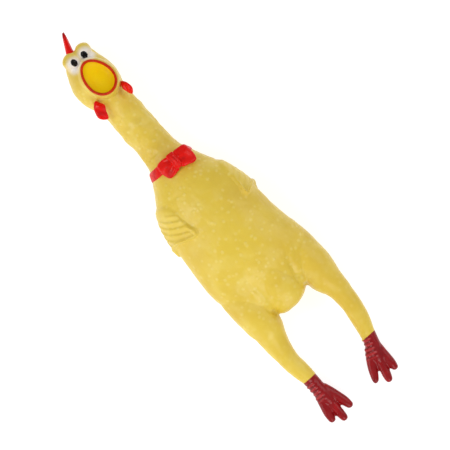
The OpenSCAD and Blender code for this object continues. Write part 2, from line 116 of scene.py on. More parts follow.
class ChickenSizes(bpy.types.PropertyGroup):
    skin_step: size("Skin step", "Size of the small faces that the skin is made of", 0.0008, 0.0005, 0.002)
    wing_relief: size("Wing relief", "How far a wing stands out of the side", 0.0021, 0.0005, 0.004)
    feather_pitch: size("Feather pitch", "Distance from one moulded feather to the next", 0.0052, 0.003, 0.009)
    feather_depth: size("Feather depth", "Depth of the groove between two feathers", 0.0009, 0.0002, 0.002)
    skin_waviness: size("Skin waviness", "Unevenness of the thin soft skin", 0.00032, 0.0, 0.001)
    bump_pitch: size("Goose bump pitch", "Distance between plucked follicles", 0.0056, 0.003, 0.012)
    mouth_width: size("Mouth width", "Width of the open beak at the middle of its edge", 0.0236, 0.018, 0.028)
    mouth_height: size("Mouth height", "Height of the open beak at the middle of its edge", 0.0322, 0.026, 0.036)
    mouth_depth: size("Mouth depth", "Depth of the coloured mouth lining", 0.0062, 0.002, 0.009)
    rim_width: size("Beak edge width", "Width of the painted edge of the beak", 0.0024, 0.001, 0.004)
    pupil_width: size("Pupil width", "Width of a pupil", 0.0056, 0.004, 0.008)
    pupil_height: size("Pupil height", "Height of a pupil", 0.0069, 0.004, 0.009)
    paint_above_right: size("Right paint line", "Top of the foot paint above the right ankle", 0.0031, -0.01, 0.01)
    paint_above_left: size("Left paint line", "Top of the foot paint above the left ankle", 0.0004, -0.01, 0.01)


class ChickenColours(bpy.types.PropertyGroup):
    vinyl: colour("Vinyl", "Body colour of the soft vinyl", (226, 196, 66))
    # random paler patches of the vinyl, and painted highlight on the raised follicles
    vinyl_pale_and_highlight: colour("Pale vinyl", "Thin and raised places of the vinyl", (246, 228, 140))
    vinyl_deep: colour("Deep vinyl", "Folds and thicker places of the vinyl", (205, 166, 42))
    red: colour("Red paint", "Collar, bow and wattles", (226, 14, 4))
    red_dark: colour("Dark red paint", "Folds and tips of the red parts", (140, 6, 8))
    rim: colour("Beak edge", "Paint on the edge of the beak", (204, 48, 0))
    amber: colour("Mouth lining", "Paint inside the beak", (240, 200, 0))
    white: colour("Eye white", "Sprayed paint round the pupils", (238, 230, 222))
    foot: colour("Foot paint", "Dark red paint of the feet", (138, 4, 12))
    foot_light: colour("Foot highlight", "Worn and raised places of the feet", (176, 14, 22))
    plug: colour("Squeaker", "Plastic of the squeaker", (232, 232, 226))
    floor: colour("Floor", "Plain pale floor", (176, 176, 176))


def sizes():
    return bpy.context.scene.chicken_sizes


def colours():
    return bpy.context.scene.chicken_colours


# ---------------------------------------------------------------- shader arithmetic

class Sock:
    """A shader socket or a number that can be used in ordinary arithmetic."""

    def __init__(self, tree, out):
        self.tree, self.out = tree, out

    def math(self, operation, *others):
        n = self.tree.nodes.new("ShaderNodeMath")
        n.operation = operation
        for socket, value in zip(n.inputs, (self, *others)):
            plug(self.tree, socket, value)
        return Sock(self.tree, n.outputs[0])

    def __add__(self, o): return self.math("ADD", o)
    def __radd__(self, o): return self.math("ADD", o)
    def __sub__(self, o): return self.math("SUBTRACT", o)
    def __rsub__(self, o): return Sock(self.tree, o).math("SUBTRACT", self)
    def __mul__(self, o): return self.math("MULTIPLY", o)
    def __rmul__(self, o): return self.math("MULTIPLY", o)
    def __truediv__(self, o): return self.math("DIVIDE", o)
    def __rtruediv__(self, o): return Sock(self.tree, o).math("DIVIDE", self)
    def __pow__(self, o): return self.math("POWER", o)
    def __neg__(self): return self.math("MULTIPLY", -1.0)

    def ramp(self, low, high, to_low=0.0, to_high=1.0):
        """Smooth step from to_low, where this is low, to to_high, where it is high."""
        n = self.tree.nodes.new("ShaderNodeMapRange")
        n.interpolation_type = "SMOOTHSTEP"
        for key, value in zip((0, 1, 2, 3, 4), (self, low, high, to_low, to_high)):
            plug(self.tree, n.inputs[key], value)
        return Sock(self.tree, n.outputs[0])


def plug(tree, socket, value):
    """Links a socket or sets a constant."""
    if isinstance(value, Sock) and isinstance(value.out, bpy.types.NodeSocket):
        tree.links.new(value.out, socket)
        return
    value = value.out if isinstance(value, Sock) else value
    if hasattr(value, "__len__") and len(value) == 3 and socket.type == "RGBA":
        value = (*value, 1.0)
    socket.default_value = value


class Paint:
    """One material, and the few nodes that they all share."""

    def __init__(self, name):
        self.material = bpy.data.materials.new(name)
        self.material.use_nodes = True
        self.tree = self.material.node_tree
        self.tree.nodes.clear()
        self.place = self.node("ShaderNodeTexCoord", out="Object")

    def node(self, kind, settings=None, into=None, out=0):
        n = self.tree.nodes.new(kind)
        for key, value in (settings or {}).items():
            setattr(n, key, value)
        for key, value in (into or {}).items():
            plug(self.tree, n.inputs[key], value)
        return Sock(self.tree, n.outputs[out])

    def axis(self, letter):
        return self.node("ShaderNodeSeparateXYZ", into={0: self.place}, out="XYZ".index(letter))

    def mix(self, share, a, b):
        return self.node("ShaderNodeMix", {"data_type": "RGBA"}, {0: share, 6: a, 7: b}, out=2)

    def noise(self, pitch, detail=2.0, rough=0.5):
        """Cloudy noise whose lumps are about pitch metres across."""
        return self.node("ShaderNodeTexNoise", None,
                         {"Vector": self.place, "Scale": 1 / pitch, "Detail": detail, "Roughness": rough})

    def dots(self, pitch, radius):
        """1 in the middle of scattered dots, 0 between them."""
        far = self.node("ShaderNodeTexVoronoi", None,
                        {"Vector": self.place, "Scale": 1 / pitch, "Randomness": 0.9})
        return far.ramp(radius / pitch, 0.08)

    def distance(self, centre, stretch=(1, 1, 1)):
        """Distance from a point in metres, with each axis divided by its stretch."""
        moved = self.node("ShaderNodeVectorMath", {"operation": "SUBTRACT"}, {0: self.place, 1: centre})
        scaled = self.node("ShaderNodeVectorMath", {"operation": "DIVIDE"}, {0: moved, 1: stretch})
        return self.node("ShaderNodeVectorMath", {"operation": "LENGTH"}, {0: scaled}, out="Value")

    def bump(self, height, depth, strength=1.0):
        return self.node("ShaderNodeBump", None,
                         {"Height": height, "Distance": depth, "Strength": strength})

    def finish(self, base, rough, normal=None, **constants):
        n = self.tree.nodes.new("ShaderNodeBsdfPrincipled")
        plug(self.tree, n.inputs["Base Color"], base)
        plug(self.tree, n.inputs["Roughness"], rough)
        if normal is not None:
            plug(self.tree, n.inputs["Normal"], normal)
        for key, value in constants.items():
            n.inputs[key.replace("_", " ")].default_value = value
        end = self.tree.nodes.new("ShaderNodeOutputMaterial")
        self.tree.links.new(n.outputs[0], end.inputs[0])
        return self.material


def once(name, maker):
    """Makes a material the first time it is asked for."""
    if name not in MADE:
        MADE[name] = maker(Paint(name))
    return MADE[name]


def vinyl_colour(p):
    """Cloudy yellow with random paler patches, the raised plucked follicles painted paler as painted highlights,
    and their height.
    """
    c, s = colours(), sizes()
    dots = p.dots(s.bump_pitch, 0.0022) * p.noise(0.03, 1.0).ramp(0.32, 0.5, 0.25, 1.0)
    dots = dots * p.axis("Y").ramp(-0.115, -0.07, 0.35, 1.0)
    cloud = p.noise(0.045, 3.0)
    base = p.mix(cloud.ramp(0.35, 0.72, 0.0, 0.42), tuple(c.vinyl), tuple(c.vinyl_deep))
    base = p.mix(p.noise(0.016, 2.0).ramp(0.45, 0.8, 0.0, 0.22), base, tuple(c.vinyl_pale_and_highlight))
    # painted highlight: the raised follicle dots are painted paler
    base = p.mix(dots * 0.3, base, tuple(c.vinyl_pale_and_highlight))
    height = dots * 0.5 + p.noise(0.0035, 2.0) * 0.24 + p.noise(0.0009, 1.0) * 0.04
    return base, height


def vinyl(p):
    base, height = vinyl_colour(p)
    rough = p.noise(0.02, 2.0).ramp(0.3, 0.7, 0.34, 0.46)
    return p.finish(base, rough, p.bump(height, 0.00045), Subsurface_Weight=0.12, Specular_IOR_Level=0.42,
                    Subsurface_Radius=(0.004, 0.003, 0.001), Subsurface_Scale=1.0, Coat_Weight=0.08,
                    Coat_Roughness=0.22)


def eye_paint(side):
    """Vinyl with a soft-edged spray of white round the pupil."""
    def make(p):
        c = colours()
        base, height = vinyl_colour(p)
        x, y = EYES[side][:2]
        top = p.distance(((x - side * 0.6) * MM, (y - 2.4) * MM, 0.04), (0.0062, 0.0056, 1.0))
        low = p.distance(((x + side * 2.2) * MM, (y - 5.6) * MM, 0.04), (0.0058, 0.006, 1.0))
        near = top.math("MINIMUM", low + 0.3) + p.noise(0.004, 2.0) * 0.12
        base = p.mix(near.ramp(1.5, 0.6, 0.0, 0.95), base, tuple(c.white))
        return p.finish(base, 0.4, p.bump(height * 0.3, 0.0003), Subsurface_Weight=0.08,
                        Subsurface_Radius=(0.004, 0.003, 0.002), Subsurface_Scale=1.0, Coat_Weight=0.15,
                        Coat_Roughness=0.2)
    return make


def gloss_red(p):
    c = colours()
    cloud = p.noise(0.009, 3.0)
    base = p.mix(cloud.ramp(0.45, 0.75, 0.0, 0.45), tuple(c.red), tuple(c.red_dark))
    rough = p.noise(0.006, 2.0).ramp(0.35, 0.7, 0.24, 0.4)
    height = p.noise(0.003, 2.0) * 0.5 + p.noise(0.0008, 1.0) * 0.06
    return p.finish(base, rough, p.bump(height, 0.0003), Specular_IOR_Level=0.18, Coat_Weight=0.06,
                    Coat_Roughness=0.1, Subsurface_Weight=0.04, Subsurface_Scale=1.0,
                    Subsurface_Radius=(0.003, 0.001, 0.001))


def comb_red(p):
    c = colours()
    up = (p.axis("Y") - pivot("comb_flex")[1] * MM) / 0.017
    dark = (up + p.noise(0.006, 2.0) * 0.5).ramp(0.7, 1.3, 0.0, 0.9)
    base = p.mix(dark, tuple(c.red), tuple(c.red_dark))
    height = p.noise(0.0028, 2.0) * 0.5
    return p.finish(base, p.noise(0.006, 2.0).ramp(0.35, 0.7, 0.26, 0.4), p.bump(height, 0.0003),
                    Specular_IOR_Level=0.12, Coat_Weight=0.03, Coat_Roughness=0.15)


def rim_red(p):
    c = colours()
    base = p.mix(p.noise(0.004, 3.0).ramp(0.4, 0.75, 0.0, 0.5), tuple(c.rim), tuple(c.red_dark))
    return p.finish(base, p.noise(0.005, 2.0).ramp(0.35, 0.7, 0.25, 0.4),
                    p.bump(p.noise(0.0018, 2.0), 0.0002), Specular_IOR_Level=0.12, Coat_Weight=0.02,
                    Coat_Roughness=0.15)


def lining_amber(p):
    c = colours()
    base = p.mix(p.noise(0.007, 3.0).ramp(0.42, 0.7, 0.0, 0.35), tuple(c.amber), linear(244, 186, 0))
    base = p.mix(p.noise(0.016, 1.0).ramp(0.5, 0.8, 0.0, 0.4), base, linear(214, 200, 0))
    return p.finish(base, p.noise(0.006, 2.0).ramp(0.35, 0.7, 0.34, 0.48),
                    p.bump(p.noise(0.0024, 2.0), 0.0002), Specular_IOR_Level=0.1)


def pupil_black(p):
    base = p.mix(p.noise(0.002, 2.0).ramp(0.4, 0.8), linear(5, 5, 6), linear(16, 15, 18))
    return p.finish(base, 0.16, p.bump(p.noise(0.0016, 1.0), 0.0001),
                    Specular_IOR_Level=0.2, Coat_Weight=0.03, Coat_Roughness=0.1)


def foot_paint_and_ridge_light(side):
    """Dark red paint with random worn patches; the ridges across the left half of the shank get painted highlights
    and the grooves between them painted shade.
    """
    def make(p):
        c = colours()
        worn = p.noise(0.007, 2.0).ramp(0.46, 0.74, 0.0, 0.5)
        base = p.mix(worn, tuple(c.foot), tuple(c.foot_light))
        base = p.mix(p.noise(0.016, 2.0).ramp(0.5, 0.75, 0.0, 0.5), base, linear(100, 6, 14))
        across, down = shank_place(p.axis("X") / MM, p.axis("Y") / MM, side)
        zone = down.ramp(*RIDGES_START) * down.ramp(*RIDGES_END[::-1]) * across.ramp(1.5, -2.5)
        wave = (down * (2 * math.pi / RIDGE_PITCH)).math("COSINE") * 0.5 + 0.5
        # painted highlight on the ridges of the shank's left half
        base = p.mix(zone * wave ** 2.0 * 0.42, base, linear(214, 64, 66))
        # painted shade in the grooves between the ridges
        base = p.mix(zone * (1.0 - wave) ** 3.0 * 0.35, base, linear(84, 4, 10))
        height = p.noise(0.0024, 2.0) * 0.5 + p.noise(0.0007, 1.0) * 0.05
        return p.finish(base, p.noise(0.006, 2.0).ramp(0.35, 0.7, 0.26, 0.36), p.bump(height, 0.00006),
                        Specular_IOR_Level=0.26, Coat_Weight=0.08, Coat_Roughness=0.12)
    return make


def plug_plastic(p):
    c = colours()
    base = p.mix(p.noise(0.006, 2.0).ramp(0.4, 0.7, 0.0, 0.5), tuple(c.plug), linear(206, 206, 198))
    rough = p.noise(0.004, 2.0).ramp(0.35, 0.7, 0.3, 0.42)
    return p.finish(base, rough, p.bump(p.noise(0.002, 2.0), 0.0001))


def reed_plastic(p):
    base = p.mix(p.noise(0.005, 2.0).ramp(0.4, 0.7, 0.0, 0.5), linear(196, 30, 34), linear(150, 18, 24))
    return p.finish(base, 0.35, p.bump(p.noise(0.002, 2.0), 0.0001))


def floor_paper(p):
    cloud = p.noise(0.05, 2.0).ramp(0.3, 0.7, 0.0, 0.15)
    base = p.mix(cloud, tuple(colours().floor), linear(168, 168, 168))
    return p.finish(base, 0.85, p.bump(p.noise(0.0012, 2.0), 0.0001),
                    Emission_Color=(1.0, 1.0, 1.0, 1.0), Emission_Strength=0.76)


# ---------------------------------------------------------------- mesh helpers

def spline(a, b, c, d, t):
    """Smooth path from b to c, coming from a and going on to d."""
    return 0.5 * (2 * b + (c - a) * t + (2 * a - 5 * b + 4 * c - d) * t * t
                  + (3 * b - a - 3 * c + d) * t ** 3)


def smooth_keys(keys, steps):
    """Points on a smooth curve through the keys."""
    k = np.array(keys, float)
    pad = np.vstack([2 * k[0] - k[1], k, 2 * k[-1] - k[-2]])
    t = np.linspace(0, 1, steps, endpoint=False)[:, None]
    out = [spline(a, b, c, d, t) for a, b, c, d in zip(pad, pad[1:], pad[2:], pad[3:])]
    return np.vstack(out + [k[-1:]])


def ring_grid(rings):
    """Closed mesh over a stack of equal rings of points, with a point at each end."""
    n, m = len(rings), len(rings[0])
    verts = np.vstack([np.vstack(rings), np.mean(rings[0], axis=0), np.mean(rings[-1], axis=0)])
    faces = [(k * m + i, k * m + (i + 1) % m, (k + 1) * m + (i + 1) % m, (k + 1) * m + i)
             for k in range(n - 1) for i in range(m)]
    faces += [((i + 1) % m, i, n * m) for i in range(m)]
    faces += [((n - 1) * m + i, (n - 1) * m + (i + 1) % m, n * m + 1) for i in range(m)]
    return verts, faces


def loft(keys, steps=5, sides=56, along="y", square=2.0):
    """Closed skin through stations [place, centre, centre, half size, half size]."""
    s = smooth_keys(keys, steps)
    a = np.linspace(0, 2 * np.pi, sides, endpoint=False)
    power = 2.0 / square
    c, d = (np.sign(q) * abs(q) ** power for q in (np.cos(a), np.sin(a)))
    rings = []
    for place, u, v, ru, rv in s:
        if along == "y":
            rings.append(np.column_stack([u + ru * c, np.full(sides, place), v + rv * d]))
        else:
            rings.append(np.column_stack([u + ru * c, v + rv * d, np.full(sides, place)]))
    return ring_grid(rings)


def limb(points, steps=5, sides=40, flat=1.0):
    """Closed limb of changing radius through points [x, y, z, radius], with rounded ends."""
    s = smooth_keys(points, steps)
    rings = []
    a = np.linspace(0, 2 * np.pi, sides, endpoint=False)
    tangents = np.gradient(s[:, :3], axis=0)
    tangents /= np.linalg.norm(tangents, axis=1)[:, None]
    def ring(centre, t, r):
        side = np.cross(t, [0, 0, 1.0])
        side /= np.linalg.norm(side)
        up = np.cross(side, t)
        return centre + r * (np.outer(np.cos(a), side) + flat * np.outer(np.sin(a), up))
    def cap(at, t, q):
        return ring(at[:3] + t * at[3] * math.sin(q), t, at[3] * math.cos(q))
    rings += [cap(s[0], tangents[0], -q) for q in np.radians([80, 55, 30])]
    rings += [ring(p[:3], t, p[3]) for p, t in zip(s, tangents)]
    rings += [cap(s[-1], tangents[-1], q) for q in np.radians([30, 55, 80])]
    return ring_grid(rings)


def ball(centre, radius, stretch=(1, 1, 1)):
    keys = [(math.cos(q), math.sin(q)) for q in np.linspace(math.pi * 0.98, math.pi * 0.02, 17)]
    a = np.linspace(0, 2 * np.pi, 32, endpoint=False)
    return ring_grid([np.column_stack([centre[0] + radius * stretch[0] * s * np.cos(a),
                                       np.full(32, centre[1] + radius * stretch[1] * c),
                                       centre[2] + radius * stretch[2] * s * np.sin(a)]) for c, s in keys])


def to_mesh(name, verts, faces):
    """Mesh from millimetre points."""
    mesh = bpy.data.meshes.new(name)
    mesh.from_pydata((np.asarray(verts) * MM).tolist(), [], [tuple(f) for f in faces])
    mesh.update()
    mesh.validate()
    return mesh


def to_object(name, mesh, material):
    o = bpy.data.objects.new(name, mesh)
    bpy.context.scene.collection.objects.link(o)
    mesh.materials.clear()
    mesh.materials.append(material)
    mesh.polygons.foreach_set("use_smooth", np.ones(len(mesh.polygons), bool))
    return o


def face_outward(mesh):
    """Turns the faces of a closed mesh outwards."""
    bm = bmesh.new()
    bm.from_mesh(mesh)
    bmesh.ops.recalc_face_normals(bm, faces=bm.faces)
    bm.to_mesh(mesh)
    bm.free()


def hoop_faces(n, m):
    """Faces of a tube that closes on itself, made of n hoops of m points."""
    return [(k * m + i, (k + 1) % n * m + i, (k + 1) % n * m + (i + 1) % m, k * m + (i + 1) % m)
            for k in range(n) for i in range(m)]


def fused(solids, step, rounds):
    """One even skin round several overlapping closed solids, softened where they meet."""
    verts, faces, base = [], [], 0
    for v, f in solids:
        verts.append(v)
        faces += [tuple(i + base for i in face) for face in f]
        base += len(v)
    mesh = to_mesh("fused", np.vstack(verts), faces)
    face_outward(mesh)
    o = bpy.data.objects.new("fused", mesh)
    bpy.context.scene.collection.objects.link(o)
    m = o.modifiers.new("skin", "REMESH")
    m.mode, m.voxel_size, m.adaptivity = "VOXEL", step, 0
    done = bpy.data.meshes.new_from_object(o.evaluated_get(bpy.context.evaluated_depsgraph_get()))
    bpy.data.objects.remove(o)
    bpy.data.meshes.remove(mesh)
    set_points(done, soften(points(done), edges(done), rounds))
    return done


def points(mesh):
    """Points of a mesh, in millimetres."""
    v = np.empty(len(mesh.vertices) * 3)
    mesh.vertices.foreach_get("co", v)
    return v.reshape(-1, 3) / MM


def set_points(mesh, v):
    mesh.vertices.foreach_set("co", (v * MM).ravel())
    mesh.update()


def edges(mesh):
    e = np.empty(len(mesh.edges) * 2, int)
    mesh.edges.foreach_get("vertices", e)
    return e.reshape(-1, 2)


def normals(mesh):
    n = np.empty(len(mesh.vertices) * 3)
    mesh.vertices.foreach_get("normal", n)
    return n.reshape(-1, 3)


def soften(v, e, rounds, share=0.55, back=0.56):
    """Evens out small steps without shrinking the shape."""
    count = np.bincount(e.ravel(), minlength=len(v))[:, None].clip(1)
    for i in range(rounds * 2):
        total = np.column_stack([np.bincount(e[:, 0], v[e[:, 1], k], len(v))
                                 + np.bincount(e[:, 1], v[e[:, 0], k], len(v)) for k in range(3)])
        v = v + (share if i % 2 == 0 else -back) * (total / count - v)
    return v


def step_up(x, low, high):
    t = np.clip((x - low) / (high - low), 0, 1)
    return t * t * (3 - 2 * t)


def outline_depth(pts, outline):
    """How far each 2-D point is inside a closed outline; negative outside."""
    poly = np.array(outline, float)
    nxt = np.roll(poly, -1, axis=0)
    best = np.full(len(pts), 1e9)
    inside = np.zeros(len(pts), bool)
    for a, b in zip(poly, nxt):
        d = b - a
        t = np.clip(((pts - a) @ d) / (d @ d), 0, 1)
        best = np.minimum(best, np.linalg.norm(pts - (a + t[:, None] * d), axis=1))
        cross = (a[1] > pts[:, 1]) != (b[1] > pts[:, 1])
        with np.errstate(divide="ignore", invalid="ignore"):
            at = (b[0] - a[0]) * (pts[:, 1] - a[1]) / (b[1] - a[1]) + a[0]
        inside ^= cross & (pts[:, 0] < at)
    return np.where(inside, best, -best)


def closed_curve(outline, steps=6):
    """Smooth closed curve through a few outline points."""
    o = np.array(outline, float)
    k = np.vstack([o[-1], o, o[0], o[1]])
    t = np.linspace(0, 1, steps, endpoint=False)[:, None]
    return np.vstack([spline(a, b, c, d, t) for a, b, c, d in zip(k, k[1:], k[2:], k[3:])])


def puffy(outline, middle, thick, fold=None, rings=16, fullness=2.4):
    """Cushioned leaf over an outline in a plane: local points (u, v, w) with w up."""
    o = closed_curve(outline)
    middle = np.array(middle, float)
    layers = []
    for q in np.linspace(-0.5 * np.pi, 0.5 * np.pi, 2 * rings + 1):
        r = max(abs(math.cos(q)), 0.03)
        flat = middle + r * (o - middle)
        w = math.copysign(thick / 2 * (1 - r ** fullness) ** 0.5, q) * np.ones(len(o))
        if abs(q) < 1e-6:
            w = np.zeros(len(o))
        if fold is not None:
            w = w + fold(flat, r) * (1 if q > 0 else 0.4)
        layers.append(np.column_stack([flat, w]))
    return ring_grid(layers)


# ---------------------------------------------------------------- the skin

def torso_keys():
    """Stations from the rump to the base of the neck: place, centre x, centre z, half sizes."""
    low, high = R_HIP[1], NECK[1]
    rise = high - low
    table = [(-0.016, 1.0, 23.5, 16, 9), (0.0, 1.2, 24, 26, 13), (0.04, 1.7, 24.8, 36, 17.5),
             (0.11, 1.5, 25.6, 43.5, 22), (0.18, 0.4, 26.8, 46.8, 26), (0.25, -0.8, 28, 47.1, 28.8),
             (0.32, -1.9, 28.8, 45.8, 30.6), (0.40, -2.3, 29, 44.4, 31.4), (0.46, -2.1, 29, 43.6, 31.6),
             (0.55, -1.7, 28.8, 42.5, 31.0), (0.64, -1.9, 28.4, 40.3, 29.6), (0.72, -1.9, 27.8, 37.2, 27.6),
             (0.78, -1.6, 27.4, 32.7, 25.4), (0.82, -1.1, 27.2, 29.1, 23.8), (0.86, -0.5, 27, 25.4, 21.8),
             (0.90, -0.2, 27, 22.2, 19.8), (0.94, 0.1, 27, 19.0, 18.4), (0.97, 0.3, 27, 17.0, 17.2),
             (1.0, 0.3, 27, 16.3, 16.6)]
    return [(low + t * rise, *rest) for t, *rest in table]


def neck_keys():
    low, high = NECK[1], NOD[1]
    rise = high - low
    table = [(-0.25, 0.2, 16.0, 16.2), (0.0, 0.3, 16.1, 16.2), (0.14, 0.3, 15.5, 15.8),
             (0.27, 0.4, 15.1, 15.4), (0.42, 0.1, 15.7, 15.8), (0.58, 0.3, 15.4, 15.5),
             (0.72, 0.5, 15.6, 15.6), (0.86, 0.4, 15.0, 15.2), (0.97, 0.0, 15.2, 15.8),
             (1.1, -1.0, 16.8, 17.0), (1.25, -1.4, 16.6, 17)]
    return [(low + t * rise, x, MID_Z, a, b) for t, x, a, b in table]


def head_keys():
    base = NOD[1]
    table = [(-2, -0.2, 26.6, 14.2, 15), (2, -0.8, 26.6, 16.4, 16.6), (6.5, -1.6, 26.8, 18.2, 17.8),
             (12, -1.6, 27, 19.8, 19.2), (19, -1.4, 27, 20.6, 20.6), (26, -1.2, 27, 20.0, 20.8),
             (32, -0.8, 26.8, 18.2, 20.0), (37, -0.4, 26.4, 16.5, 18.2), (42, 0.3, 25.6, 14.6, 15.8),
             (46, 1.1, 24.8, 12.4, 12.8), (49, 1.2, 24, 9.8, 9.6), (51.2, 1.2, 23.4, 5.6, 6.0)]
    return [(base + t, *rest) for t, *rest in table]


def tail_keys():
    low = box_mm("squeaker_barrel")[0][1]
    table = [(-1.1, 0.9, 25, 9.2, 9.2), (-0.7, 0.9, 25, 10.8, 10.8), (0.2, 1.0, 25.2, 13.4, 13.0),
             (1.8, 1.0, 25.6, 16.0, 14.4), (4.5, 1.0, 26.2, 17.2, 15.6), (9, 1.0, 27, 17.4, 17),
             (20, 1.0, 28.4, 17, 19.4), (36, 1.0, 29.4, 16.2, 21.5), (56, 0.6, 30, 14, 22)]
    return [(low + t, *rest) for t, *rest in table]


def leg_points(hip, ankle, centres, radii):
    """Limb points from inside the torso down to the shank of the foot."""
    drop = ankle[1] - hip[1]
    places = (-0.68, -0.48, -0.3, -0.14, 0.0, 0.16, 0.32, 0.48, 0.64, 0.80, 0.95)
    heights = (26.5, 26, 25.6, 25.2, 24.4, 23, 21.6, 20, 18.3, 16.4, 14.6)
    return [(hip[0] + x, hip[1] + t * drop, z, r)
            for t, x, z, r in zip(places, centres, heights, radii)]


def shank_place(x, y, side):
    """Place across and down the shank of a foot, in millimetres from a little above its ankle."""
    ankle, turn = FEET[side]
    c, s = math.cos(turn), math.sin(turn)
    dx, dy = x - ankle[0], y - ankle[1]
    return dx * c + dy * s, dx * s - dy * c + 2.0


def foot_solids(side):
    """Shank, ball of the foot and three toes; side is -1 on the right foot."""
    ankle, turn = FEET[side]
    c, s = math.cos(turn), math.sin(turn)
    outer_tip = -34.7 if side < 0 else -33.0

    def placed(pts):
        """Points given from the ankle of a right foot, mirrored for the left one."""
        return [(ankle[0] - side * x * c - y * s, ankle[1] - side * x * s + y * c, ankle[2] + z, r)
                for x, y, z, r in pts]
    shank = [(0, 9, 0.6, 6.3), (0, 3, 0.2, 6.6), (0, -6, -0.8, 6.5), (0.2, -13, -1.8, 6.5),
             (0.6, -20, -2.8, 5.6)]
    middle = [(0.3, -14, -2.0, 4.8), (0.5, -22, -2.8, 4.0), (0.3, -31, -4.0, 3.8), (0.2, -36, -4.6, 3.8),
              (0.2, -40.2, -5.0, 3.3)]
    inner = [(2.9, -11, -2.0, 5.2), (6.3, -19, -2.9, 4.5), (8.9, -27, -3.9, 4.1), (9.9, -31.6, -4.6, 3.9),
             (10.6, -35.0, -5.0, 3.4)]
    outer = [(-2.1, -12, -2.0, 4.9), (-4.5, -19, -2.9, 4.3), (-6.9, -27, -3.9, 4.0),
             (-7.8, -31, -4.6, 3.7), (-8.4, outer_tip, -5.0, 3.2)]
    out = [limb(placed(shank), flat=0.94)] + [limb(placed(toe), flat=0.92) for toe in (middle, inner, outer)]
    # the webs lie 1.1 lower than the toes on either side
    for other in (inner, outer):
        web = [((p[0] + q[0]) / 2, (p[1] + q[1]) / 2, (p[2] + q[2]) / 2 - 1.1, 2.3)
               for p, q in zip(middle[:3], other[:3])]
        out.append(limb(placed(web), flat=0.8))
    return out


MOUTH = (3.1, NOD[1] + 20.7)
FACE_Z = 54.6
CORNER_DIP = 4.5
MOUTH_TILT = math.radians(5.5)
EYES = {-1: (-5.4, NOD[1] + 44.9, 36.2, 7.5), 1: (8.2, NOD[1] + 45.2, 36.2, 6.9)}


def mouth_egg(width, height, count=72):
    """Egg outline of the open beak, small end towards the comb."""
    q = np.linspace(0, 2 * np.pi, count, endpoint=False)
    x = width / 2 * np.cos(q) * (1 - 0.13 * np.sin(q))
    y = height / 2 * np.sin(q)
    c, s = math.cos(MOUTH_TILT), math.sin(MOUTH_TILT)
    return np.column_stack([MOUTH[0] + x * c - y * s, MOUTH[1] + x * s + y * c])


def corner_dip(count):
    """How far the beak's edge drops back towards its corners, round the egg."""
    return CORNER_DIP * np.cos(np.linspace(0, 2 * np.pi, count, endpoint=False)) ** 2


def snout():
    """Open beak as a soft tube that grows out of the face."""
    rings = []
    count = 56
    table = [(30, 32, 38, -1.6, 0.8), (38, 32.5, 40, -1.2, 0.4), (44, 31.4, 40, -0.4, 0.1),
             (49, 30.0, 39, 0, 0), (53, 29.0, 38.2, 0, 0), (55.2, 28.0, 37.0, 0, 0), (56.2, 26.4, 35.4, 0, 0)]
    for z, w, h, dx, dy in smooth_keys(table, 4):
        egg = mouth_egg(w, h, count) + np.array([dx, dy])
        rings.append(np.column_stack([egg, z - 1.12 * corner_dip(count) * max(0, min(1, (z - 38) / 17))]))
    return ring_grid(rings)


def side_angle(v, side):
    """Angle up from the side of the torso, in degrees."""
    keys = np.array(torso_keys())
    cx = np.interp(v[:, 1], keys[:, 0], keys[:, 1])
    rx = np.interp(v[:, 1], keys[:, 0], keys[:, 3])
    rz = np.interp(v[:, 1], keys[:, 0], keys[:, 4])
    return np.degrees(np.arctan2((v[:, 2] - 27.5) / rz, side * (v[:, 0] - cx) / rx))


# outline of a wing: degrees up from the side, millimetres along the body
WING = [(16, 37), (34, 36), (47, 32.6), (56, 25.6), (58.5, 18), (62, 10), (65.4, 3.6), (62.6, -1.4),
        (50, 0.2), (34, 3.4), (20, 2.8), (9, 0.4), (0, -4.6), (-9, -4.4), (-18, 2), (-24, 13), (-21, 25),
        (-10, 34), (3, 37.4)]
WING_SHIFT = {-1: (0.0, 0.0), 1: (-18.0, -2.0)}


def wing_depth(v, side):
    """Depth inside a wing's outline, in millimetres, and its two surface coordinates."""
    angle = side_angle(v, side) - WING_SHIFT[side][0]
    along = v[:, 1] - WING_SHIFT[side][1]
    uv = np.column_stack([angle * ARC, along])
    outline = closed_curve([(a * ARC, y) for a, y in WING], 4)
    return outline_depth(uv, outline), uv


def wing_relief(v, side):
    """How far a wing and its slanting feathers stand out, in millimetres."""
    s = sizes()
    depth, uv = wing_depth(v, side)
    across = uv[:, 0] * 0.42 + uv[:, 1] * 0.907
    pitch = s.feather_pitch / MM
    t = (across / pitch) % 1.0
    tooth = np.where(t < 0.8, t / 0.8, (1 - t) / 0.2)
    tooth = tooth * tooth * (3 - 2 * tooth)
    low = step_up(-uv[:, 1], -14, -5)
    fade = (step_up(depth, 0.6 + 2.2 * low, 2.4 + 2.2 * low) * (1 - step_up(uv[:, 1], 23, 31))
            * step_up(uv[:, 0], -14, 2))
    top = step_up(uv[:, 1], 10, 30)
    body = (1 - top) * step_up(depth, -0.5, 1.3) + top * 0.8 * step_up(depth, -1.8, 3.2)
    lip = 1.5 * np.exp(-((depth - 1.6) / 1.0) ** 2) * low * step_up(uv[:, 0], 0, 8)
    feathers = s.feather_depth / MM * (tooth - 0.45) * fade * (1.0 if side < 0 else 0.5)
    return s.wing_relief / MM * body + feathers + lip


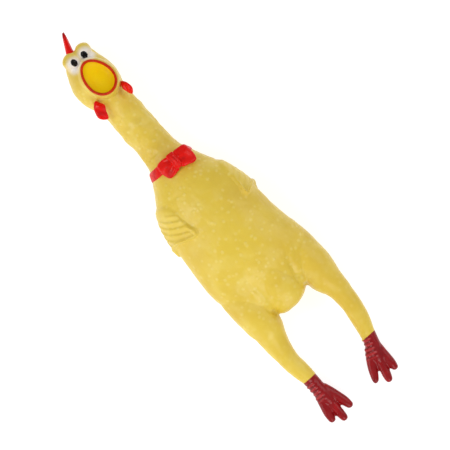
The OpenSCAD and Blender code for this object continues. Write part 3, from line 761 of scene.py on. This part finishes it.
def sculpt(mesh):
    """Relief, folds and unevenness of the whole skin."""
    s = sizes()
    v = points(mesh)
    n = normals(mesh)
    push = np.zeros(len(v))
    # brows over the two eyes and a hollow between them
    front = step_up(v[:, 2], 30, 38) * step_up(v[:, 1], NOD[1] + 34, NOD[1] + 39)
    for side, (x, y, z, r) in EYES.items():
        dx, dy = v[:, 0] - x, v[:, 1] - y
        d = np.hypot(dx, dy)
        upper = step_up(dy / (d + 0.1), -0.15, 0.55)
        push += front * upper * 0.75 * np.exp(-((d - 6.6) / 1.0) ** 2)
        push -= front * 0.25 * step_up(-d, -6.0, -4.5)
    # wings
    trunk = step_up(v[:, 1], -12, -6) * (1 - step_up(v[:, 1], 40, 44))
    for side in (-1, 1):
        push += np.where(side * v[:, 0] > 0, trunk * wing_relief(v, side), 0)
    # creases beside the tail, straight on the right and slanting in on the left
    y = v[:, 1]
    slant = np.interp(y, (-92, -84, -72, -62, -52), (17.4, 15.6, 19, 21.6, 24))
    for x0, deep in ((-16.2, 1.0), (slant, 1.5)):
        reach = step_up(-y, 46, 88) * step_up(v[:, 2], 20, 32)
        push -= deep * reach * np.exp(-((v[:, 0] - x0) / 2.8) ** 2)
        push += 0.15 * reach * np.exp(-((v[:, 0] - x0 - 5) / 3) ** 2)
    # soft unevenness, stronger on the neck
    wave = s.skin_waviness / MM
    lumps = np.array([noise.noise(Vector(p) / 7.5) + 0.5 * noise.noise(Vector(p) / 3.6) for p in v])
    neck_part = step_up(v[:, 1], 62, 72) * (1 - step_up(v[:, 1], 122, 132))
    push += wave * lumps * (1 + 0.7 * neck_part) * (1 - 0.75 * step_up(-v[:, 1], 128, 150))
    # rings pressed into the shanks of the feet
    for side in FEET:
        across, down = shank_place(v[:, 0], v[:, 1], side)
        zone = step_up(down, *RIDGES_START) * (1 - step_up(down, *RIDGES_END))
        zone = zone * (side * v[:, 0] > 5) * step_up(v[:, 2], 10, 13) * (1 - step_up(across, -2.5, 2.5))
        push += 0.85 * zone * ((0.5 + 0.5 * np.cos(down * 2 * np.pi / RIDGE_PITCH)) ** 1.5 - 0.35)
    v = v + n * push[:, None]
    # the rump is hollowed in the middle and drawn in on the left
    v[:, 1] -= 1.2 * step_up(-v[:, 1], 91, 96) * np.clip(1 - ((v[:, 0] + 2.0) / 13) ** 2, 0, 1)
    v[:, 1] += 1.4 * step_up(-v[:, 1], 88, 95) * step_up(v[:, 0], 1, 14)
    # the back lies flat on the floor
    v[:, 2] = 0.5 * (v[:, 2] + np.sqrt(v[:, 2] ** 2 + 0.8)) - 0.05
    set_points(mesh, v)
    return mesh


def cut_plane(bm, place, normal, low, high):
    """Cuts the faces whose middles lie between two corners along a plane, in millimetres."""
    near = []
    for f in bm.faces:
        c = f.calc_center_median() / MM
        if all(a <= q <= b for q, a, b in zip(c, low, high)):
            near.append(f)
    geometry = set(near)
    for f in near:
        geometry.update(f.edges)
        geometry.update(f.verts)
    bmesh.ops.bisect_plane(bm, geom=list(geometry), dist=1e-7, plane_co=Vector(place) * MM,
                           plane_no=normal)


def whole_skin():
    """The bird's skin in one piece, before it is parted at its bends and colour lines."""
    solids = [loft(torso_keys(), square=2.15), loft(neck_keys()), loft(head_keys()),
              loft(tail_keys(), square=2.2), snout()]
    # two round eye bulges and the brow between them
    x, y, z, r = (np.array(EYES[-1]) + np.array(EYES[1])) / 2
    for x, y, z, r in (*EYES.values(), (x, y - 0.7, z - 0.5, r - 0.7)):
        solids.append(ball((x, y, z), r, (1.0, 1.0, 1.08)))
    # skin between the tail and the thighs
    web = ((40, 26, 14), (26, 27, 15), (14, 26.5, 16), (3, 24.5, 16.5), (-3, 21.5, 15), (-6, 16.5, 12),
           (-8, 11.5, 9))
    solids.append(loft([(R_HIP[1] + t, 1, MID_Z, w, d) for t, w, d in web], square=2.4))
    right = (4.5, 2.0, 0.9, 0.7, 0.8, 1.0, -1.05, -2.4, -2.7, -1.6, -0.3)
    left = (-5.0, -2.4, -0.8, 0.2, 0.7, 0.8, 2.6, 3.0, 2.3, 0.1, -2.8)
    thigh = (13, 16, 16.4, 16.1, 15.5)
    solids.append(limb(leg_points(R_HIP, R_ANKLE, right, (*thigh, 14.6, 11.75, 9.6, 8.4, 7.9, 6.7))))
    solids.append(limb(leg_points(L_HIP, L_ANKLE, left, (*thigh, 14.4, 10.9, 9.1, 8.5, 8.0, 6.8))))
    solids += foot_solids(-1) + foot_solids(1)
    return sculpt(fused(solids, sizes().skin_step, 9))


def part_lines():
    """Planes where the skin is parted, and the places of the bends."""
    s = sizes()
    return {
        "thigh": R_HIP[1] + 21, "right_crease": -15.6, "left_crease": 17.2, "shin": R_ANKLE[1] + 27,
        "right_paint": R_ANKLE[1] + s.paint_above_right / MM,
        "left_paint": L_ANKLE[1] + s.paint_above_left / MM,
        "neck_low": NECK[1] - 12, "neck_mid": NECK[1] + 32, "head": NOD[1] + 3, "belly": 46.0}


def label_faces(c):
    """Name of the piece that each face belongs to, from the middles of the faces."""
    g = part_lines()
    x, y, z = c.T
    name = np.full(len(c), "torso_skin", object)
    name[(z > g["belly"]) & (y < g["neck_low"] - 2)] = "belly_skin"
    for side, word in SIDES.items():
        depth, _ = wing_depth(c, side)
        inside = (depth > 0.1) & (side * x > 0) & (y > -12) & (y < 44) & (z < g["belly"])
        name[inside] = word + "_wing"
    name[(y > g["neck_low"])] = "neck_skin"
    name[(y > g["neck_mid"])] = "throat_skin"
    name[(y > g["head"])] = "head_skin"
    for side, word in SIDES.items():
        ex, ey = EYES[side][:2]
        near = np.minimum(np.hypot(x - ex, y - ey + 1) / 8.6,
                          np.hypot((x - ex - side * 2.4) / 6.6, (y - ey + 6.2) / 7.0))
        between = (x < 0.95) if side < 0 else (x >= 0.95)
        name[(near < 1) & between & (z > 33) & (y > g["head"])] = word + "_eye"
    for side, word in SIDES.items():
        beyond = side * x > side * g[word + "_crease"]
        own = ((y < g["thigh"]) & beyond) | ((y < -104) & (side * x > 0))
        name[own] = word + "_leg"
        name[own & (y < g["shin"])] = word + "_shin"
        name[own & (y < g[word + "_paint"])] = word + "_foot"
    return name


def open_boundary_chain(bm, keep):
    """The longest run of boundary edges whose ends both pass a test, as ordered points."""
    links = {}
    for e in bm.edges:
        a, b = e.verts
        if e.is_boundary and keep(a.co / MM) and keep(b.co / MM):
            links.setdefault(a, []).append(b)
            links.setdefault(b, []).append(a)
    best, seen = [], set()
    starts = sorted(links, key=lambda q: (len(links[q]) != 1, q.index))
    for start in starts:
        if start in seen:
            continue
        chain, at, last = [start], start, None
        seen.add(start)
        while True:
            step = [q for q in links[at] if q is not last and q not in seen]
            if not step:
                break
            last, at = at, step[0]
            seen.add(at)
            chain.append(at)
        if len(chain) > len(best):
            best = chain
    return best


def corner_of(face, edge):
    """The point that an edge starts from on the way round a face."""
    return next(loop.vert for loop in face.loops if loop.edge is edge)


def close_hole(mesh, keep):
    """Fills the open edge whose points pass a test, facing as its neighbours do."""
    bm = bmesh.new()
    bm.from_mesh(mesh)
    bm.verts.ensure_lookup_table()
    chain = open_boundary_chain(bm, keep)
    if len(chain) > 5:
        wall = bm.faces.new(chain)
        bm.normal_update()
        inner = next((e for e in wall.edges if len(e.link_faces) == 2), None)
        if inner is not None:
            other = next(f for f in inner.link_faces if f is not wall)
            if corner_of(wall, inner) is corner_of(other, inner):
                wall.normal_flip()
        bmesh.ops.triangulate(bm, faces=[wall], ngon_method="EAR_CLIP")
    bm.to_mesh(mesh)
    bm.free()
    mesh.update()


def piece_from(mesh, chosen, name, vertex_normals, holes=()):
    """A piece of the skin: the chosen faces and the normals of the whole skin at its points."""
    all_loops = np.empty(len(mesh.loops), int)
    mesh.loops.foreach_get("vertex_index", all_loops)
    start = np.empty(len(mesh.polygons), int)
    total = np.empty(len(mesh.polygons), int)
    mesh.polygons.foreach_get("loop_start", start)
    mesh.polygons.foreach_get("loop_total", total)
    faces = [all_loops[start[i]:start[i] + total[i]] for i in np.nonzero(chosen)[0]]
    used = np.unique(np.concatenate(faces))
    back = np.full(len(mesh.vertices), -1)
    back[used] = np.arange(len(used))
    v = points(mesh)[used]
    out = bpy.data.meshes.new(name)
    out.from_pydata((v * MM).tolist(), [], [back[f].tolist() for f in faces])
    out.update()
    for hole in holes:
        close_hole(out, hole)
    return out, vertex_normals[used]


def shade_like(mesh, custom):
    mesh.polygons.foreach_set("use_smooth", np.ones(len(mesh.polygons), bool))
    mesh.normals_split_custom_set_from_vertices(custom.tolist())


# ---------------------------------------------------------------- pieces

def make_skin():
    """Parts the whole skin and returns its pieces by name."""
    mesh = whole_skin()
    g = part_lines()
    bm = bmesh.new()
    bm.from_mesh(mesh)
    far = 400
    for side, word in SIDES.items():
        at = g[word + "_paint"]
        low, high = sorted((0, side * far))
        cut_plane(bm, (0, at, 0), (0, 1, 0), (low, at - 3, -far), (high, at + 3, far))
    for word in SIDES.values():
        at = g[word + "_crease"]
        cut_plane(bm, (at, 0, 0), (1, 0, 0), (at - 3, -110, -far), (at + 3, g["thigh"] + 2, far))
    at = g["thigh"]
    cut_plane(bm, (0, at, 0), (0, 1, 0), (-far, at - 3, -far), (far, at + 3, far))
    bm.to_mesh(mesh)
    bm.free()
    mesh.update()
    vertex_normals = normals(mesh)
    centres = np.empty(len(mesh.polygons) * 3)
    mesh.polygons.foreach_get("center", centres)
    centres = centres.reshape(-1, 3) / MM
    names = label_faces(centres)
    # the open beak and the hole for the squeaker's plug
    lips = outline_depth(centres[:, :2], mouth_egg(sizes().mouth_width / MM, sizes().mouth_height / MM))
    names[(lips > 0) & (centres[:, 2] > 45)] = ""
    low, high = box_mm("squeaker_barrel")
    mid = (low + high) / 2
    r = np.hypot(centres[:, 0] - mid[0], centres[:, 2] - mid[2])
    flange = (high[0] - low[0]) / 2
    names[(r < flange - 0.3) & (centres[:, 1] < low[1] + 2)] = ""
    made = {}
    for name in sorted(set(names) - {""}):
        sides = {"right_leg": ["right_crease"], "left_leg": ["left_crease"],
                 "torso_skin": ["right_crease", "left_crease"]}.get(name, [])
        holes = [lambda p, at=g[key]: abs(p[0] - at) < 0.02 and p[1] < g["thigh"] + 0.05
                 for key in sides]
        out, custom = piece_from(mesh, names == name, name, vertex_normals, holes)
        material = once("vinyl", vinyl)
        side = -1 if name.startswith("right") else 1
        if name.endswith("_foot"):
            material = once(name + "_paint", foot_paint_and_ridge_light(side))
        if name.endswith("_eye"):
            material = once(name + "_paint", eye_paint(side))
        made[name] = to_object("skin_" + name, out, material)
        shade_like(out, custom)
    return made


def across(first, second, y, before, after, z):
    """Two bodies, and the points in millimetres between which the skin passes from one to the other."""
    return first, second, (0, y + before, z), (0, y + after, z)


BENDS = {"neck_skin": across("torso", "neck", NECK[1], -9, 13, MID_Z),
         "throat_skin": across("neck", "head", NOD[1], -19, 3, MID_Z),
         "belly_skin": ("torso", "belly", (0, 0, 46), (0, 0, 61))}
for hip, ankle, word in ((R_HIP, R_ANKLE, "right"), (L_HIP, L_ANKLE, "left")):
    leg, foot = word + "_leg", word + "_foot"
    BENDS[leg] = across("torso", leg, hip[1], 21, -23, 25)
    BENDS[word + "_shin"] = BENDS[foot] = across(leg, foot, ankle[1], 8, -8, 14)
RIDES = {"torso_skin": "torso", "right_wing": "torso", "left_wing": "torso", "head_skin": "head",
         "right_eye": "head", "left_eye": "head"}
STANDS_FOR = {"throat_skin": [], "right_shin": [], "left_shin": []}


class CHICKEN_OT_skin(bpy.types.Operator):
    """Moulds the whole skin, parts it at its bends and colour lines, ties each piece that rides one body to that
    body and leaves the pieces at the bends unattached
    """
    bl_idname = "chicken.skin"
    bl_label = "Skin"

    def execute(self, context):
        for name, o in make_skin().items():
            if name in BENDS:
                a, b, start, end = BENDS[name]
                tuple(q * MM for q in start)
                tuple(q * MM for q in end)
                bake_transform(o)
            else:
                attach(o, RIDES[name])
            nodes = STANDS_FOR.get(name, [name])
            if nodes:
                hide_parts(*nodes)
        return {"FINISHED"}


class CHICKEN_OT_mouth(bpy.types.Operator):
    """Adds the painted edge of the open beak and the coloured lining behind it"""
    bl_idname = "chicken.mouth"
    bl_label = "Mouth"

    def execute(self, context):
        s = sizes()
        count = 96
        dip = corner_dip(count)
        w, h, half = s.mouth_width / MM, s.mouth_height / MM, s.rim_width / MM / 2
        middle = mouth_egg(w, h, count)
        centre = middle.mean(axis=0)
        out = middle - centre
        out /= np.linalg.norm(out, axis=1)[:, None]
        rings = []
        swell = np.array([1 + 0.1 * noise.noise(Vector((p[0] / 4, p[1] / 4, 3.0))) for p in middle])
        for q in np.linspace(0, 2 * np.pi, 14, endpoint=False):
            r = half * swell * math.cos(q)
            z = FACE_Z + 1.9 + 0.9 * math.sin(q) - dip
            rings.append(np.column_stack([middle + out * r[:, None], z]))
        mesh = to_mesh("beak_rim", np.vstack(rings), hoop_faces(len(rings), count))
        rim = to_object("beak_rim", mesh, once("rim_red", rim_red))
        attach(rim, "head")
        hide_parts("mouth_rim")
        rings = []
        deep = s.mouth_depth / MM
        inner = mouth_egg(w - 0.2, h - 0.2, count)
        ripple = np.array([0.16 * noise.noise(Vector((p[0] / 5, p[1] / 5, 9.0))) for p in inner])
        for r in np.linspace(0.03, 1, 24):
            z = FACE_Z + 1.5 - deep * (1 - r ** 3.2) + ripple * r * (1 - r) - dip * r * r
            rings.append(np.column_stack([centre + (inner - centre) * r, z]))
        for r in np.linspace(1.02, 0.03, 12):
            z = FACE_Z - 0.3 - deep * (1 - r ** 3.2) - 0.6 - dip * r * r
            rings.append(np.column_stack([centre + (inner - centre) * r, z]))
        verts, faces = ring_grid(rings)
        mesh = to_mesh("beak_lining", verts, faces)
        lining = to_object("beak_lining", mesh, once("lining", lining_amber))
        face_outward(mesh)
        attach(lining, "head")
        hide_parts("mouth_lining")
        return {"FINISHED"}


class CHICKEN_OT_pupils(bpy.types.Operator):
    """Adds the two raised black pupils"""
    bl_idname = "chicken.pupils"
    bl_label = "Pupils"

    def execute(self, context):
        s = sizes()
        half_width, half_height = s.pupil_width / MM / 2, s.pupil_height / MM / 2
        for word, at in (("right", (-4.1, NOD[1] + 43.0)), ("left", (6.6, NOD[1] + 42.7))):
            name = word + "_pupil"
            skin = bpy.data.objects["skin_" + word + "_eye"]
            tree = kdtree.KDTree(len(skin.data.vertices))
            for i, q in enumerate(skin.data.vertices):
                tree.insert((q.co.x, q.co.y, 0), i)
            tree.balance()
            rings = []
            for share in np.linspace(1, 0.06, 12):
                lift = 0.42 * math.sqrt(max(0, 1 - share ** 2.6)) - 0.12
                ring = []
                for q in np.linspace(0, 2 * np.pi, 40, endpoint=False):
                    px = at[0] + half_width * share * math.cos(q)
                    py = at[1] + half_height * share * math.sin(q)
                    near = tree.find_n((px * MM, py * MM, 0), 4)
                    height = sum(skin.data.vertices[i].co.z for _, i, _ in near) / len(near) / MM
                    ring.append((px, py, height + lift))
                rings.append(np.array(ring))
            under = rings[0].copy()
            under[:, 2] -= 0.6
            rings.insert(0, under)
            verts, faces = ring_grid(rings)
            o = to_object(name + "_dome", to_mesh(name, verts, faces), once("pupil", pupil_black))
            set_points(o.data, soften(points(o.data), edges(o.data), 2))
            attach(o, "head")
            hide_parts(name)
        return {"FINISHED"}


class CHICKEN_OT_comb(bpy.types.Operator):
    """Adds the serrated comb, thick at its root and thin at its points"""
    bl_idname = "chicken.comb"
    bl_label = "Comb"

    def execute(self, context):
        x, y, z = pivot("comb_flex")
        top = box_mm("comb")[1][1] - y
        lean = math.tan(math.radians(22.5))
        solids = []
        for dz, share in ((-13, 0.46), (-7.2, 0.74), (-0.4, 1.0), (6.2, 0.74)):
            h = top * share
            keys = []
            for t in np.linspace(0, 1, 7):
                up = -2.6 + t * (h + 2.6)
                thick = 2.9 * (1 - t) ** 0.75 + 1.0
                wide = (4.4 + share * 1.2) * (1 - t ** 1.5) + 0.9
                keys.append((y + up, x + max(up, -1) * lean + 0.1, z + dz * (1 + 0.12 * t), thick, wide))
            solids.append(loft(keys, 4, 32))
        base = [(z - 2 + t * 10.5, x + 0.2, y - 2.0 - 3.0 * abs(t) ** 2, 2.9, 2.4)
                for t in np.linspace(-1, 1, 9)]
        solids.append(loft(base, 4, 32, along="z"))
        mesh = fused(solids, 0.00042, 3)
        v, n = points(mesh), normals(mesh)
        lumps = np.array([noise.noise(Vector(p) / 2.6) for p in v])
        set_points(mesh, v + n * (0.1 * lumps)[:, None])
        o = to_object("comb_fin", mesh, once("comb_red", comb_red))
        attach(o, "comb")
        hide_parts("comb")
        return {"FINISHED"}


class CHICKEN_OT_wattles(bpy.types.Operator):
    """Adds the two soft red wattles beside the beak"""
    bl_idname = "chicken.wattles"
    bl_label = "Wattles"

    def execute(self, context):
        leaf = [(2.0, 0.6), (4.2, -3.0), (6.0, -7.0), (3.6, -12.0), (1.2, -17.6), (-2.6, -16.2), (-5.4, -12.2),
                (-4.6, -7.0), (-2.4, -2.6)]

        def fold(flat, r):
            ripple = np.cos((flat[:, 0] * 0.9 + flat[:, 1] * 0.25) * 1.05)
            return 0.5 * ripple * (1 - r ** 2) - 0.4 * (1 - r)
        for side, word in SIDES.items():
            node = word + "_wattle"
            at = pivot(node + "_flex")
            turn = 0.16 if side < 0 else -1.02
            drop = -1.4 if side < 0 else 1.7
            verts, faces = puffy(leaf, (0.6, -8.2), 4.4, fold)
            # the left wattle is the mirror image of the right one and a little shorter
            u, v, w = verts.T * np.array([[-side], [1.0 if side < 0 else 0.79], [1.0]])
            c, s = math.cos(turn), math.sin(turn)
            spun = np.column_stack([u * c + w * s, v, -u * s + w * c]) + (at + np.array([0, drop, 0]))
            spun[:, 2] -= 1.8
            root = at + np.array([0.6 if side < 0 else -0.4, drop - 2.4, -2.2])
            skull = np.array([root[0] * (0.93 if side < 0 else 0.84), root[1] + 1.6, 33.5])
            stalk = [(*(skull + (root - skull) * t), 2.5 - 0.7 * t) for t in (0, 0.35, 0.7, 1)]
            mesh = fused([(spun, faces), limb(stalk, 4, 24)], 0.0004, 3)
            o = to_object(node + "_leaf", mesh, once("gloss_red", gloss_red))
            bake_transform(o)
            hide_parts(node)
        return {"FINISHED"}


class CHICKEN_OT_collar(bpy.types.Operator):
    """Adds the collar band, the knot and the two drooping loops of the bow"""
    bl_idname = "chicken.collar"
    bl_label = "Collar and bow"

    def execute(self, context):
        low, high = box_mm("collar_band")
        y0 = (low[1] + high[1]) / 2 - 0.2
        count, rings = 120, []
        q = np.linspace(0, 2 * np.pi, count, endpoint=False)
        for a in np.linspace(0, 2 * np.pi, 20, endpoint=False):
            ca, sa = math.cos(a), math.sin(a)
            along = 4.1 * np.sign(sa) * abs(sa) ** 0.6
            out = 1.5 * np.sign(ca) * abs(ca) ** 0.7
            wave = 0.35 * np.array([noise.noise(Vector((math.cos(t) * 3, math.sin(t) * 3, along * 0.4)))
                                    for t in q])
            radius = 19.5 - along * 0.42 + out + wave
            rings.append(np.column_stack([0.2 + radius * np.cos(q), y0 + along + 0.3 * wave,
                                          MID_Z + radius * np.sin(q)]))
        mesh = to_mesh("collar", np.vstack(rings), hoop_faces(len(rings), count))
        face_outward(mesh)
        self.place("collar_ring", mesh, "collar_band")
        x0 = box_mm("bow_knot")[0][0] + 4.0
        shapes = {
            "bow_right_loop": [(0.5, 1.5), (-4, 3.8), (-9, 4.4), (-13.6, 3.4), (-15.2, -0.4), (-15.0, -6.0),
                               (-12.8, -11.4), (-9.0, -12.4), (-5.0, -11.8), (-1.0, -10.0)],
            "bow_left_loop": [(-0.5, 1.5), (4, 3.6), (9.6, 3.4), (14.4, 2.4), (16.0, -2.0), (16.3, -8.0),
                              (15.0, -13.4), (11.4, -14.6), (7.0, -13.0), (1.0, -10.2)],
            "bow_knot": [(-3.2, 4.2), (0, 4.6), (3.4, 4.0), (3.9, 0), (3.6, -8.0), (0, -10.4), (-3.6, -8.2),
                         (-3.8, 0)],
        }
        for node, outline in shapes.items():
            knot = node == "bow_knot"

            def fold(flat, r):
                if knot:
                    return 0.45 * np.cos(flat[:, 0] * 2.1) * (1 - r ** 3)
                fan = np.arctan2(flat[:, 1] + 2.5, abs(flat[:, 0]) + 2.0)
                reach = step_up(np.hypot(flat[:, 0], flat[:, 1] + 2), 1.5, 8) * (1 - r ** 4)
                return 0.75 * np.cos(fan * 7.5) * reach
            verts, faces = puffy(outline, np.mean(outline, axis=0), 6.0 if knot else 5.0, fold, rings=18)
            u, v, w = verts.T
            height = 49.6 + (1.6 if knot else 0)
            tilt = -0.16
            out = np.column_stack([x0 + u, y0 + 1.0 + v, height + w + tilt * v - 0.012 * u ** 2])
            mesh = to_mesh(node, out, faces)
            face_outward(mesh)
            self.place(node + "_fold", mesh, node)
        return {"FINISHED"}

    def place(self, name, mesh, node):
        o = to_object(name, mesh, once("gloss_red", gloss_red))
        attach(o, "torso")
        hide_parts(node)


class CHICKEN_OT_squeaker(bpy.types.Operator):
    """Gives the squeaker's own parts their plastic"""
    bl_idname = "chicken.squeaker"
    bl_label = "Squeaker"

    def execute(self, context):
        for node, name, maker in (("squeaker_barrel", "plug_plastic", plug_plastic),
                                  ("squeaker_cap", "plug_plastic", plug_plastic),
                                  ("reed_bed", "reed_plastic", reed_plastic),
                                  ("reed_tongue", "plug_plastic", plug_plastic)):
            o = frame["nodes"][node]
            o.data.materials.clear()
            o.data.materials.append(once(name, maker))
        return {"FINISHED"}


class CHICKEN_OT_stage(bpy.types.Operator):
    """Adds the pale floor, the soft lights and the camera above the bird"""
    bl_idname = "chicken.stage"
    bl_label = "Floor, light and camera"

    def execute(self, context):
        scene = context.scene
        count, wide = 40, 6000
        verts = [((i / count - 0.5) * wide, (k / count - 0.5) * wide, -0.2)
                 for k in range(count + 1) for i in range(count + 1)]
        first = [k * (count + 1) + i for k in range(count) for i in range(count)]
        faces = [(a, a + 1, a + count + 2, a + count + 1) for a in first]
        floor = to_object("floor", to_mesh("floor", verts, faces), once("floor_paper", floor_paper))
        # every lamp looks at the middle of the bird: place, width, power
        lamps = {"key": ((-0.6, 0.5, 1.2), 0.5, 4.2), "fill": ((0.9, -0.2, 0.8), 0.9, 3.5),
                 "foot_side": ((-0.3, -1.1, 0.7), 0.7, 4.4), "low_left": ((-1.0, 0, 0.5), 0.8, 3.0)}
        for name, (at, wide, power) in lamps.items():
            lamp = bpy.data.lights.new(name, "AREA")
            lamp.shape, lamp.size, lamp.energy = "DISK", wide, power
            o = bpy.data.objects.new(name, lamp)
            o.location = at
            o.rotation_euler = (-Vector(at)).to_track_quat("-Z", "Y").to_euler()
            scene.collection.objects.link(o)
        world = scene.world or bpy.data.worlds.new("World")
        scene.world = world
        world.use_nodes = True
        back = world.node_tree.nodes.get("Background")
        back.inputs[0].default_value = (1, 1, 1, 1)
        back.inputs[1].default_value = 0.46
        camera = bpy.data.cameras.new("camera")
        camera.sensor_width = 36
        # the camera's height, and the width it sees at the level of the bird's middle
        height, field, level = 5.0, 0.375, 0.030
        camera.lens = camera.sensor_width * (height - level) / field
        camera.clip_end = 20
        o = bpy.data.objects.new("camera", camera)
        o.location = (0.0003, -0.0097, height)
        o.rotation_euler = Euler((0, 0, -math.radians(41.56)))
        scene.collection.objects.link(o)
        scene.camera = o
        scene.view_settings.view_transform = "Standard"
        return {"FINISHED"}


class CHICKEN_PT_panel(bpy.types.Panel):
    """Sizes, colours and the steps that build the bird"""
    bl_idname = "CHICKEN_PT_panel"
    bl_label = "Rubber chicken"
    bl_space_type = "VIEW_3D"
    bl_region_type = "UI"
    bl_category = "Chicken"

    def draw(self, context):
        for group in (context.scene.chicken_sizes, context.scene.chicken_colours):
            column = self.layout.column()
            for key in group.__annotations__:
                column.prop(group, key)
        for step in STEPS:
            self.layout.operator(step.bl_idname)


STEPS = (CHICKEN_OT_skin, CHICKEN_OT_mouth, CHICKEN_OT_pupils, CHICKEN_OT_comb, CHICKEN_OT_wattles,
         CHICKEN_OT_collar, CHICKEN_OT_squeaker, CHICKEN_OT_stage)
CLASSES = (ChickenSizes, ChickenColours, *STEPS, CHICKEN_PT_panel)


def register():
    for cls in CLASSES:
        bpy.utils.register_class(cls)
    bpy.types.Scene.chicken_sizes = bpy.props.PointerProperty(type=ChickenSizes)
    bpy.types.Scene.chicken_colours = bpy.props.PointerProperty(type=ChickenColours)


def unregister():
    del bpy.types.Scene.chicken_sizes
    del bpy.types.Scene.chicken_colours
    for cls in reversed(CLASSES):
        bpy.utils.unregister_class(cls)


def main():
    register()
    bpy.ops.chicken.skin()
    bpy.ops.chicken.mouth()
    bpy.ops.chicken.pupils()
    bpy.ops.chicken.comb()
    bpy.ops.chicken.wattles()
    bpy.ops.chicken.collar()
    bpy.ops.chicken.squeaker()
    bpy.ops.chicken.stage()


if __name__ == "__main__":
    main()
